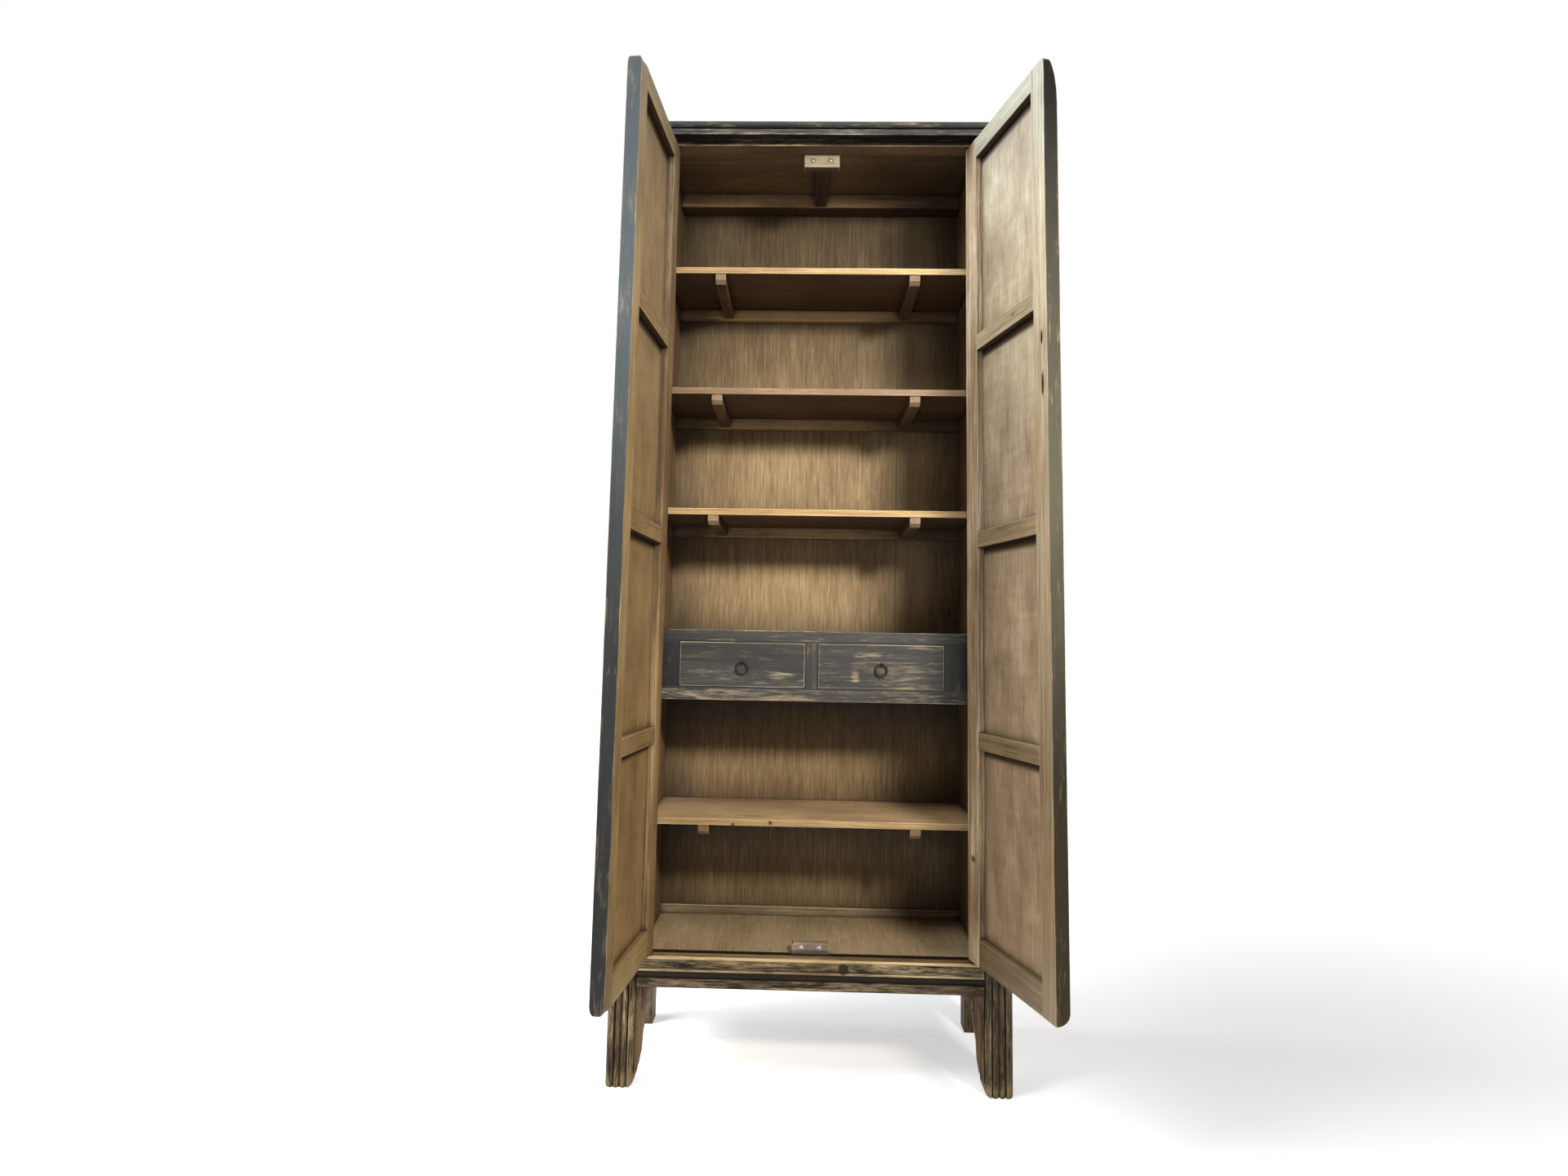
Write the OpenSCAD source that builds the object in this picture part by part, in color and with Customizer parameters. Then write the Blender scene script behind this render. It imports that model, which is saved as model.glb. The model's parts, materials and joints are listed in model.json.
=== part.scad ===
// Tapered two-door cabinet: four leaning posts, a moulded cap, panelled doors on wooden pivots,
// four shelves and a case of two small drawers with iron rings.

/* [Overall] */
// Height from the floor to the top of the cap
total_h = 2100; // [1950:10:2250]
// Width across the front feet at the floor
foot_spread = 868; // [820:2:960]
// Depth from the face of the front posts to the back of the back posts
depth = 365; // [345:5:420]
// Lean of each side towards the middle, in degrees
lean = 0.59; // [0.4:0.01:0.8]

/* [Posts] */
// Width of a front post
front_post_w = 62; // [56:1:70]
// Depth of a front post
front_post_d = 55; // [46:1:64]
// Width and depth of a back post
back_post_w = 50; // [44:1:56]
// Radius of a front post's outer corner
post_outer_r = 16; // [12:1:18]
// Radius of a front post's inner corner, which the open door swings round
post_inner_r = 14; // [14:0.5:18]
// Rounding at the foot of a front post, on its inner side
foot_inner_r = 18; // [10:1:24]
// Rounding at the foot of a front post, on its outer side
foot_outer_r = 7; // [3:0.5:10]
// Radius of each of the two reeds between them
reed_r = 6; // [4:0.5:6.5]
// Depth of the grooves beside the reeds
reed_groove = 6; // [4:0.5:8]

/* [Cap] */
// Width of a member of the cap's frame
cap_member_w = 70; // [60:1:80]
// Thickness of the cap over the posts
cap_t = 22; // [18:1:28]
// How far the cap's moulded lip hangs below the top of the posts
cap_drop = 12; // [8:1:16]
// How far the cap stands out past the face of the posts
cap_overhang = 30; // [20:1:40]
// How far the cap stands out past each side
cap_side_overhang = 21; // [16:1:30]
// Thickness of the top panel in the cap
top_panel_t = 12; // [9:1:14]

/* [Front frame] */
// Height of the head rail over the doors
head_rail_h = 20.5; // [18:0.5:32]
// Depth of the head rail
head_rail_d = 38; // [34:1:44]
// Height of the sill's top above the floor
sill_top = 276; // [240:1:320]
// Height of the sill
sill_h = 32; // [26:1:40]
// Depth of the sill
sill_d = 55; // [50:1:60]
// Height of the front and side aprons
apron_h = 35; // [28:1:45]
// Thickness of the front apron and its leg brackets
apron_t = 20; // [16:1:24]

/* [Doors] */
// Thickness of a door
door_t = 28; // [26:0.5:30]
// Gap between a door's rounded edge and its post
post_gap = 2.5; // [2.5:0.1:3.5]
// Gap between the closed doors
meeting_gap = 3; // [2:0.5:5]
// Gap above a door
door_head_gap = 2.5; // [2:0.5:5]
// Gap below a door
door_foot_gap = 7; // [2:0.5:10]
// Width of the hinge stile, from its pivot to the panels
hinge_stile_w = 48; // [42:1:56]
// Width of the free stile
free_stile_w = 47; // [40:1:56]
// Height of the door's top rail
door_top_rail_h = 42; // [36:1:52]
// Height of the door's bottom rail
door_bottom_rail_h = 56; // [46:1:70]
// Height of each middle rail
door_mid_rail_h = 35; // [28:1:42]
// Number of panels in a door
panels_per_door = 4; // [3:1:5]
// Thickness of a door panel
door_panel_t = 9; // [7:0.5:10]
// How far a panel lies behind the door's outer face
door_panel_set = 4; // [2:0.5:6]
// Radius of the wooden pivots
pivot_r = 7; // [5:0.5:8]
// How far a pivot reaches into its socket
pivot_reach = 8; // [6:0.5:12]
// How far the left door stands open
left_open = 94.4; // [0:0.2:106]
// How far the right door stands open
right_open = 105; // [0:0.2:106]

/* [Inside] */
// Thickness of the inner side walls
wall_t = 24; // [18:0.5:30]
// How far the drawers and the battens lie to the right of the middle
inner_shift = -6; // [-12:1:12]
// Distance from the cabinet's face to the front edge of the shelves
shelf_setback = 60; // [56:1:80]
// Thickness of a shelf
shelf_t = 14.5; // [12:0.5:20]
// How far the tops of the three upper shelves lie below the tops of the posts
upper_shelf_drops = [273, 552.5, 828.5];
// Height of the lowest shelf's top above the sill
low_shelf_rise = 281; // [200:1:320]
// Depth of the grooves that hold shelves in the inner walls
housing = 5; // [3:0.5:8]
// Width of a shelf's battens
batten_w = 24; // [18:1:32]
// Height of a shelf's battens
batten_h = 22; // [16:1:28]
// Distance from the side of the cabinet to the middle of a batten
batten_inset = 193.5; // [150:0.5:230]
// Height of the cleats behind the shelves
cleat_h = 25; // [18:1:32]
// Depth of those cleats
cleat_d = 20; // [12:1:28]
// Height of the low cleat at the back of the floor
floor_cleat_h = 21; // [14:1:28]
// Thickness of the floor board
floor_t = 14; // [12:1:18]
// Thickness of the back panel
back_t = 12; // [9:1:14]
// Height of the rail under the ceiling at the back
ceiling_rail_h = 34; // [26:1:44]
// Depth of that rail
ceiling_rail_d = 50; // [36:1:60]
// Width of the batten under the ceiling
ceiling_batten_w = 29; // [22:1:40]

/* [Sides] */
// Height of a side's top rail
side_top_rail_h = 45; // [36:1:60]
// How far the side rails lie behind the outer faces of the posts
side_rail_set = 8; // [4:1:12]
// Thickness of a side panel
side_panel_t = 12; // [9:1:14]
// How far a side panel lies behind the outer faces of the posts
side_panel_set = 18; // [14:1:22]
// Depth of the grooves that hold panels
tongue = 8; // [6:0.5:10]

/* [Drawers] */
// Height of the drawer case's bottom above the sill
case_rise = 543; // [520:1:570]
// Height of the drawer case
case_h = 156; // [140:1:180]
// Height of the case's top rail
case_top_rail_h = 26; // [20:1:34]
// Height of the case's bottom rail
case_bottom_rail_h = 29; // [22:1:36]
// Width of the stile between the drawers
case_stile_w = 28.5; // [22:0.5:40]
// Thickness of the case's front frame
case_frame_t = 22; // [18:1:26]
// Thickness of the case's top and bottom boards
case_board_t = 12; // [9:1:14]
// Width of the opening for one drawer
drawer_opening_w = 281.5; // [260:0.5:300]
// Gap round a drawer in its opening
drawer_gap = 0.75; // [0.5:0.05:0.9]
// Thickness of a drawer's front
drawer_front_t = 20; // [16:1:24]
// Thickness of a drawer's sides and back
drawer_side_t = 10; // [8:0.5:12]
// Space between a closed drawer and the back panel
drawer_back_gap = 10; // [6:1:60]
// Height of a drawer's sides
drawer_side_h = 84; // [60:1:90]
// Thickness of a drawer's bottom
drawer_bottom_t = 7; // [5:0.5:9]

/* [Rings and catches] */
// Radius of a ring, to the middle of its wire
ring_r = 13; // [11:0.5:17]
// Radius of a ring's wire
ring_wire_r = 1.9; // [1.5:0.1:2.1]
// Radius of the eye that holds a ring, to the middle of its wire
eye_r = 3.7; // [3.6:0.1:4.2]
// Radius of the eye's wire
eye_wire_r = 1.1; // [0.9:0.05:1.2]
// Height of a ring's eye above the drawer's lower edge
eye_height = 55; // [45:1:65]
// Width of a catch block
block_w = 79; // [70:1:90]
// Thickness of a catch block
block_t = 23; // [18:1:30]
// How far the upper catch block hangs below the head rail
block_drop = 28; // [20:1:36]
// Height of the lower catch block
lower_block_h = 22; // [20:1:34]
// Distance between the two catches of a block
catch_spacing = 39; // [34:1:50]
// Radius of a catch's domed head
catch_r = 6; // [4:0.5:7]

/* [Hidden] */
$fn = 48;
// Clearance of a tongue in its groove, of a pivot in its socket and at a drilled fitting
fit = 0.3;
socket_gap = 0.1;
// Room past a pivot's end, and how far a socket's cut starts outside the wood
socket_end_gap = 1;
socket_run_in = 5;
// Longer than anything that is cut with it
far = 3000;

post_top = total_h - cap_t;
head_bottom = post_top - head_rail_h;
sill_bottom = sill_top - sill_h;
apron_bottom = sill_bottom - apron_h;
back_post_y = depth - back_post_w;
// The back panel stands a little proud of the back posts, in their rebates
back_panel_y = back_post_y - 3;
back_rail_y = back_panel_y + back_t;

pivot_y = door_t / 2;
pivot_inset = front_post_w + post_gap + door_t / 2;
stile_inset = pivot_inset + hinge_stile_w;
door_bottom = sill_top + door_foot_gap;
door_top = head_bottom - door_head_gap;
panel_span = door_top - door_top_rail_h - door_bottom - door_bottom_rail_h;
door_panel_h = (panel_span - (panels_per_door - 1) * door_mid_rail_h) / panels_per_door;
panel_pitch = door_panel_h + door_mid_rail_h;
door_panel_bottom = door_bottom + door_bottom_rail_h;

// The inner walls are flush with the posts' inner faces and lie against the side rails
side_rail_t = front_post_w - wall_t - side_rail_set;
shelf_tops = concat([for (drop = upper_shelf_drops) post_top - drop], [sill_top + low_shelf_rise]);
case_bottom = sill_top + case_rise;
case_top = case_bottom + case_h;
drawer_floor = case_bottom + case_bottom_rail_h;
drawer_ceiling = case_top - case_top_rail_h;
drawer_h = drawer_ceiling - drawer_floor - 2 * drawer_gap;
drawer_w = drawer_opening_w - 2 * drawer_gap;
drawer_x = (case_stile_w + drawer_opening_w) / 2;
drawer_z = drawer_floor + drawer_gap;
drawer_side_l = back_panel_y - drawer_back_gap - shelf_setback - drawer_front_t;
frame_back = shelf_setback + case_frame_t;

eye_y = shelf_setback - eye_r - eye_wire_r - 0.2;
eye_z = drawer_z + eye_height;
cap_half_w = edge_x(post_top, 0) + cap_side_overhang;

// The origin lies on the floor, midway between the open doors' front edges and the back
door_w = edge_x(door_bottom, pivot_inset) - meeting_gap / 2;
door_reach = door_w * max(sin(left_open), sin(right_open)) - door_t / 2;
origin_y = (depth - door_reach) / 2;

// Distance from the middle plane to a line that lies inset from a side's outer face
function edge_x(z, inset) = foot_spread / 2 - z * tan(lean) - inset / cos(lean);

// Places what follows in the part's frame
module placed() {
    translate([0, -origin_y, 0]) children();
}

module right_or_left(side) {
    if (side == "right") children();
    else mirror([1, 0, 0]) children();
}

// The frame of the right side: x = 0 is its outer face, x < 0 is inwards, z runs up along it
module leaning() {
    translate([foot_spread / 2, 0, 0]) rotate([0, -lean, 0]) children();
}

module slab(z0, z1) {
    translate([-far / 2, -far / 2, z0]) cube([far, far, z1 - z0]);
}

// A box in the leaning frame, from inset inwards, cut level at z0 and z1
module side_box(inset, w, y, d, z0, z1) {
    intersection() {
        leaning() translate([-inset - w, y, z0 - 20]) cube([w, d, z1 - z0 + 40]);
        slab(z0, z1);
    }
}

// A board that spans the cabinet between lines that lie inset from both sides
module cross_board(inset, y, d, z0, z1) {
    translate([0, y + d, 0]) rotate([90, 0, 0]) linear_extrude(d) polygon([
        [-edge_x(z0, inset), z0],
        [edge_x(z0, inset), z0],
        [edge_x(z1, inset), z1],
        [-edge_x(z1, inset), z1]
    ]);
}

// A run of moulding along the cabinet's width; the outline's x is depth and its y is height
module run_across(half_w) {
    translate([-half_w, 0, 0]) rotate([90, 0, 90]) linear_extrude(2 * half_w) children();
}

module quarter_disc(r, from_left) {
    intersection() {
        circle(r);
        translate([from_left ? -r : 0, -r]) square([r, r]);
    }
}

// Outline of a front post from above: round outer corner, two reeds, round inner corner
module post_outline() {
    reed_base = front_post_w - post_outer_r - post_inner_r;
    reed_slack = (reed_base - 4 * reed_r) / 3;
    translate([-post_outer_r, post_outer_r]) quarter_disc(post_outer_r, false);
    translate([post_inner_r - front_post_w, post_inner_r]) quarter_disc(post_inner_r, true);
    translate([-post_outer_r, post_outer_r])
        square([post_outer_r, front_post_d - post_outer_r]);
    translate([-front_post_w, post_inner_r])
        square([post_inner_r, front_post_d - post_inner_r]);
    translate([post_inner_r - front_post_w, reed_groove])
        square([reed_base, front_post_d - reed_groove]);
    for (k = [0, 1])
        translate([-post_outer_r - reed_slack - reed_r - k * (2 * reed_r + reed_slack), reed_r])
            circle(reed_r);
}

// What the rounding of a front foot's lower corner takes away; x is the corner, going inwards
module foot_corner(x, r, inner) {
    translate([x, front_post_d + 1, 0]) rotate([90, 0, 0]) linear_extrude(front_post_d + 2)
        mirror([inner ? 0 : 1, 0, 0]) difference() {
            translate([-2, -1]) square([r + 2, r + 1]);
            translate([r, r]) circle(r);
        }
}

module side_panel_space(gap) {
    reach = tongue - fit + gap;
    side_box(side_panel_set - gap, side_panel_t + 2 * gap, front_post_d - reach,
        back_post_y - front_post_d + 2 * reach, sill_top - reach,
        post_top - side_top_rail_h + reach);
}

module front_post(side) {
    color("#3b3733") placed() right_or_left(side) difference() {
        intersection() {
            leaning() translate([0, 0, -20]) linear_extrude(post_top + 40) post_outline();
            slab(0, post_top);
        }
        side_panel_space(fit);
        foot_corner(edge_x(foot_inner_r, front_post_w), foot_inner_r, true);
        foot_corner(edge_x(foot_outer_r, 0), foot_outer_r, false);
    }
}

module back_post(side) {
    soft = 7;
    rebate = 11;
    color("#37332f") placed() right_or_left(side) difference() {
        intersection() {
            leaning() translate([0, back_post_y, -20]) linear_extrude(post_top + 40) {
                translate([-back_post_w, 0]) square([back_post_w - soft, back_post_w]);
                translate([-soft, 0]) square([soft, back_post_w - soft]);
                translate([-soft, back_post_w - soft]) circle(soft);
            }
            slab(0, post_top);
        }
        side_panel_space(fit);
        side_box(back_post_w - rebate, far, back_panel_y - 1, back_t + 1,
            sill_top - floor_t - 0.2, post_top + 1);
    }
}

module socket(z, reach) {
    leaning() translate([-pivot_inset, pivot_y, z]) cylinder(r = pivot_r + socket_gap, h = reach);
}

module both_sockets(z, reach) {
    socket(z, reach);
    mirror([1, 0, 0]) socket(z, reach);
}

module head_rail() {
    bead = 3;
    color("#4a3a2b") placed() difference() {
        intersection() {
            run_across(foot_spread / 2) {
                translate([bead, head_bottom]) square([head_rail_d - bead, head_rail_h]);
                translate([1, head_bottom + 2 * bead]) square([bead, head_rail_h - 2 * bead]);
                translate([bead, head_bottom + bead]) circle(bead);
            }
            cross_board(front_post_w, 0, head_rail_d, head_bottom, post_top);
        }
        both_sockets(head_bottom - socket_run_in, socket_run_in + pivot_reach + socket_end_gap);
    }
}

module sill() {
    bead = 3.5;
    lower_bead = 2.5;
    bow = 32;
    band_h = sill_h - 2 * bead - 2 * lower_bead;
    band_z = sill_bottom + 2 * lower_bead;
    color("#6b5a45") placed() difference() {
        intersection() {
            run_across(foot_spread / 2) {
                translate([lower_bead, sill_bottom]) square([sill_d - lower_bead, 2 * lower_bead]);
                translate([bead, band_z]) square([sill_d - bead, sill_h - 2 * lower_bead]);
                translate([bead, sill_top - bead]) circle(bead);
                translate([lower_bead, sill_bottom + lower_bead]) circle(lower_bead);
                intersection() {
                    translate([bow + 0.5, band_z + band_h / 2]) circle(bow, $fn = 96);
                    translate([0, band_z]) square([6, band_h]);
                }
            }
            cross_board(front_post_w, 0, sill_d, sill_bottom, sill_top);
        }
        both_sockets(sill_top - pivot_reach - socket_end_gap,
            pivot_reach + socket_end_gap + socket_run_in);
        translate([-far / 2, sill_d - 12, sill_top - floor_t]) cube([far, 20, floor_t + 1]);
    }
}

module front_apron() {
    band_h = 20;
    cove = 7;
    round_r = 4;
    color("#6f6152") placed() intersection() {
        run_across(foot_spread / 2) {
            translate([2 + cove, apron_bottom]) square([apron_t - cove, apron_h]);
            translate([2 + round_r, apron_bottom]) square([cove, band_h]);
            translate([2, apron_bottom + round_r]) square([cove, band_h - 2 * round_r]);
            translate([2 + round_r, apron_bottom + round_r]) circle(round_r);
            translate([2 + round_r, apron_bottom + band_h - round_r]) circle(round_r);
        }
        cross_board(front_post_w, 0, sill_d, apron_bottom, sill_bottom);
    }
}

// Boards beside the front legs: their inner edges swell from the foot to the apron
module leg_brackets() {
    foot_z = 27;
    flare_r = 20;
    flare_x = edge_x(foot_z, front_post_w + 26 + flare_r);
    // Share of the height above the foot, and width there
    swell = [[0, 2], [0.1, 9], [0.25, 14], [0.46, 16], [0.64, 22], [0.82, 26]];
    color("#54483b") placed() for (side = ["left", "right"]) right_or_left(side)
        translate([0, apron_t + 2, 0]) rotate([90, 0, 0]) linear_extrude(apron_t - 4)
            difference() {
                polygon(concat(
                    [[edge_x(foot_z, front_post_w), foot_z]],
                    [for (s = swell) [edge_x(foot_z, front_post_w + s[1]),
                        foot_z + s[0] * (apron_bottom - foot_z)]],
                    [
                        [flare_x, apron_bottom - flare_r],
                        [flare_x, apron_bottom],
                        [edge_x(apron_bottom, front_post_w), apron_bottom]
                    ]
                ));
                translate([flare_x, apron_bottom - flare_r]) circle(flare_r);
            }
}

module side_rails(side) {
    color("#37332f") placed() right_or_left(side) difference() {
        union() {
            side_box(side_rail_set, side_rail_t, front_post_d, back_post_y - front_post_d,
                sill_bottom, sill_top);
            side_box(side_rail_set, side_rail_t, front_post_d, back_post_y - front_post_d,
                post_top - side_top_rail_h, post_top);
        }
        side_panel_space(fit);
    }
}

module side_panel(side) {
    color("#3d3833") placed() right_or_left(side) side_panel_space(0);
}

// Aprons under the side rails, with a small curved bracket at each end
module side_aprons() {
    corner = 30;
    span = back_post_y - front_post_d;
    color("#3a352f") placed() for (side = ["left", "right"]) right_or_left(side) intersection() {
        side_box(side_rail_set + 3, side_rail_t - 14, front_post_d, span,
            apron_bottom - corner, sill_bottom);
        translate([0, front_post_d, 0]) rotate([90, 0, 90]) linear_extrude(foot_spread)
            difference() {
                translate([0, apron_bottom - corner]) square([span, apron_h + corner]);
                translate([corner, apron_bottom - corner - 1])
                    square([span - 2 * corner, corner + 1]);
                translate([corner, apron_bottom - corner]) circle(corner);
                translate([span - corner, apron_bottom - corner]) circle(corner);
            }
    }
}

module back_rails() {
    rail_t = 28;
    color("#43362a") placed() {
        cross_board(back_post_w, back_rail_y, rail_t, sill_bottom - 12, sill_top - floor_t);
        cross_board(back_post_w, back_rail_y, rail_t, post_top - 40, post_top);
    }
}

module back_panel() {
    color("#6a543b") placed()
        cross_board(back_post_w - 11 + fit, back_panel_y, back_t, sill_top, post_top);
}

module floor_board() {
    half_w = edge_x(sill_top, front_post_w) - 0.5;
    board_y = sill_d - 12;
    color("#7a6448") placed() translate([-half_w, board_y, sill_top - floor_t])
        cube([2 * half_w, back_rail_y + 26 - board_y, floor_t]);
}

module shelf_space(top, gap) {
    half_w = edge_x(top, front_post_w) + housing - fit + gap;
    translate([-half_w, shelf_setback - gap, top - shelf_t - gap / 2])
        cube([2 * half_w, back_panel_y - shelf_setback + 2 * gap, shelf_t + gap]);
}

module case_board_space(top, gap) {
    half_w = edge_x(top, front_post_w) + housing - fit + gap;
    translate([-half_w, frame_back - gap, top - case_board_t - gap / 2])
        cube([2 * half_w, back_panel_y - frame_back + 2 * gap, case_board_t + gap]);
}

module inner_wall(side) {
    color("#6b563d") placed() difference() {
        right_or_left(side) side_box(front_post_w - wall_t, wall_t, front_post_d,
            back_panel_y - front_post_d, sill_top - floor_t, post_top);
        for (top = shelf_tops) shelf_space(top, fit);
        for (top = [case_top, drawer_floor]) case_board_space(top, fit);
    }
}

module shelf(number) {
    color("#8a7353") placed() shelf_space(shelf_tops[number - 1], 0);
}

// Two battens under each shelf, with the lower front corner taken off
module shelf_battens() {
    chamfer = 9;
    batten_l = back_panel_y - cleat_d - shelf_setback - 2;
    color("#6e5a40") placed() for (top = shelf_tops, s = [-1, 1]) {
        x = inner_shift + s * edge_x(top, batten_inset) - batten_w / 2;
        under = top - shelf_t;
        translate([x, shelf_setback + 2, 0]) rotate([90, 0, 90]) linear_extrude(batten_w) polygon([
            [0, under],
            [0, under - batten_h + chamfer],
            [chamfer, under - batten_h],
            [batten_l, under - batten_h],
            [batten_l, under]
        ]);
    }
}

module back_cleats() {
    color("#665138") placed() {
        for (top = shelf_tops)
            cross_board(front_post_w, back_panel_y - cleat_d, cleat_d,
                top - shelf_t - cleat_h, top - shelf_t);
        cross_board(front_post_w, back_panel_y - 12, 12, sill_top, sill_top + floor_cleat_h);
    }
}

module ceiling_back_rail() {
    color("#5d4932") placed() cross_board(front_post_w, back_panel_y - ceiling_rail_d,
        ceiling_rail_d, post_top - ceiling_rail_h, post_top);
}

module ceiling_batten() {
    batten_y = head_rail_d + block_t;
    color("#5a4631") placed()
        translate([-ceiling_batten_w / 2, batten_y, post_top - ceiling_rail_h + 2])
            cube([ceiling_batten_w, back_panel_y - ceiling_rail_d - batten_y,
                ceiling_rail_h - 2]);
}

// Cross-section of the cap's moulding: x runs inwards from its edge, y up from its lip
module cap_outline(overhang) {
    lip_h = cap_drop + cap_t;
    top_r = 9;
    bead_r = 2.5;
    translate([top_r, lip_h - 2 * top_r]) square([cap_member_w - top_r, 2 * top_r]);
    translate([top_r, lip_h - top_r]) circle(top_r);
    translate([top_r, cap_drop]) square([cap_member_w - top_r, cap_t]);
    translate([6, 0]) square([overhang - 6 - fit, lip_h - top_r]);
    translate([3, 2 * bead_r]) square([6, lip_h - 2 * top_r - 2 * bead_r - 2]);
    translate([bead_r, bead_r]) circle(bead_r);
    translate([bead_r, 0]) square([6, 2 * bead_r]);
}

module cap_prism(points) {
    translate([0, 0, post_top - cap_drop - 1]) linear_extrude(cap_drop + cap_t + 2)
        polygon(points);
}

module top_panel_space(gap) {
    half_w = cap_half_w - cap_member_w + tongue - fit + gap;
    front_y = cap_member_w - cap_overhang - tongue + fit - gap;
    back_y = depth - cap_member_w + tongue - fit + gap;
    translate([-half_w, front_y, post_top - gap])
        cube([2 * half_w, back_y - front_y, top_panel_t + 2 * gap]);
}

module cap_front() {
    w = cap_half_w;
    color("#3a3733") placed() difference() {
        intersection() {
            translate([-w, -cap_overhang, post_top - cap_drop]) rotate([90, 0, 90])
                linear_extrude(2 * w) cap_outline(cap_overhang);
            cap_prism([
                [-w, -cap_overhang],
                [w, -cap_overhang],
                [w - cap_member_w, cap_member_w - cap_overhang],
                [cap_member_w - w, cap_member_w - cap_overhang]
            ]);
        }
        top_panel_space(fit);
    }
}

module cap_side(side) {
    w = cap_half_w;
    color("#37342f") placed() difference() {
        right_or_left(side) intersection() {
            translate([w, -cap_overhang, post_top - cap_drop]) rotate([90, 0, 180]) {
                linear_extrude(depth + cap_overhang) cap_outline(cap_side_overhang);
                linear_extrude(cap_overhang - fit) cap_outline(cap_overhang);
            }
            cap_prism([
                [w, -cap_overhang],
                [w, depth],
                [w - cap_member_w, depth],
                [w - cap_member_w, cap_member_w - cap_overhang]
            ]);
        }
        top_panel_space(fit);
    }
}

module cap_back() {
    half_w = cap_half_w - cap_member_w;
    color("#37342f") placed() difference() {
        translate([-half_w, depth - cap_member_w, post_top]) cube([2 * half_w, cap_member_w, cap_t]);
        top_panel_space(fit);
    }
}

module top_panel() {
    color("#4b4034") placed() top_panel_space(0);
}

module catch_at(y, z) {
    for (s = [-1, 1]) translate([s * catch_spacing / 2, y, z]) rotate([90, 0, 0]) children();
}

upper_catch_z = head_bottom - block_drop / 2;
lower_catch_z = sill_top + lower_block_h / 2 + 1;
catch_shank_r = 3;
catch_shank_l = 12;

module upper_catch_block() {
    color("#b9a98c") placed() difference() {
        translate([-block_w / 2, head_rail_d, head_bottom - block_drop])
            cube([block_w, block_t, block_drop + head_rail_h]);
        catch_at(head_rail_d - 1, upper_catch_z) translate([0, 0, -catch_shank_l - 2])
            cylinder(r = catch_shank_r + 0.1, h = catch_shank_l + 3);
    }
}

module lower_catch_block() {
    soft = 5;
    color("#75685a") placed() difference() {
        translate([0, head_rail_d + block_t, sill_top]) rotate([90, 0, 0]) linear_extrude(block_t) {
            translate([-block_w / 2, 0]) square([block_w, lower_block_h - soft]);
            translate([-block_w / 2 + soft, 0]) square([block_w - 2 * soft, lower_block_h]);
            for (s = [-1, 1]) translate([s * (block_w / 2 - soft), lower_block_h - soft])
                circle(soft);
        }
        catch_at(head_rail_d - 1, lower_catch_z) translate([0, 0, -catch_shank_l - 2])
            cylinder(r = catch_shank_r + 0.1, h = catch_shank_l + 3);
    }
}

// A catch has a shank in the block, a flange on its face and a domed head
module catches() {
    flange_t = 1.5;
    dome_r = 4;
    color("#c9c5bb") placed() for (z = [upper_catch_z, lower_catch_z])
        catch_at(head_rail_d, z) rotate_extrude() {
            translate([0, -catch_shank_l]) square([catch_shank_r, catch_shank_l + flange_t]);
            square([catch_r, flange_t]);
            translate([0, flange_t]) intersection() {
                circle(dome_r);
                square(dome_r);
            }
        }
}

module case_rails() {
    color("#3b3733") placed() {
        cross_board(front_post_w, shelf_setback, case_frame_t, drawer_ceiling, case_top);
        cross_board(front_post_w, shelf_setback, case_frame_t, case_bottom, drawer_floor);
    }
}

module case_stiles() {
    color("#3b3733") placed() {
        translate([inner_shift - case_stile_w / 2, shelf_setback, drawer_floor])
            cube([case_stile_w, case_frame_t, drawer_ceiling - drawer_floor]);
        for (s = [-1, 1]) {
            outer_x = inner_shift + s * (case_stile_w / 2 + drawer_opening_w);
            translate([0, frame_back, 0]) rotate([90, 0, 0]) linear_extrude(case_frame_t) polygon([
                [outer_x, drawer_floor],
                [s * edge_x(drawer_floor, front_post_w), drawer_floor],
                [s * edge_x(drawer_ceiling, front_post_w), drawer_ceiling],
                [outer_x, drawer_ceiling]
            ]);
        }
    }
}

module case_top_board() {
    color("#5b4a35") placed() case_board_space(case_top, 0);
}

module case_bottom_board() {
    color("#5b4a35") placed() case_board_space(drawer_floor, 0);
}

// Partition between the drawers and a guide strip outside each of them
module drawer_guides() {
    partition_t = 18;
    strip_w = 12;
    strip_h = 30;
    strip_x = case_stile_w / 2 + drawer_opening_w;
    run_l = back_panel_y - frame_back;
    color("#5f4d38") placed() translate([inner_shift, frame_back, drawer_floor]) {
        translate([-partition_t / 2, 0, 0])
            cube([partition_t, run_l, case_top - case_board_t - drawer_floor]);
        for (s = ["left", "right"]) right_or_left(s)
            translate([strip_x, 0, 0]) cube([strip_w, run_l, strip_h]);
    }
}

module at_drawer(side) {
    placed() translate([inner_shift + (side == "right" ? drawer_x : -drawer_x), 0, 0])
        children();
}

module drawer_bottom_space(gap) {
    half_w = drawer_w / 2 - drawer_side_t + 4 + gap;
    front_y = shelf_setback + drawer_front_t - 5 - gap;
    back_y = shelf_setback + drawer_front_t + drawer_side_l - drawer_side_t + 4 + gap;
    translate([-half_w, front_y, drawer_z + 5 - gap / 2])
        cube([2 * half_w, back_y - front_y, drawer_bottom_t + gap]);
}

module drawer_front(side) {
    shank_r = 1.8;
    color("#45413b") at_drawer(side) difference() {
        translate([-drawer_w / 2, shelf_setback, drawer_z])
            cube([drawer_w, drawer_front_t, drawer_h]);
        drawer_bottom_space(0.2);
        translate([0, shelf_setback - 1, eye_z]) rotate([-90, 0, 0])
            cylinder(r = shank_r, h = drawer_front_t + 2);
    }
}

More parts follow.
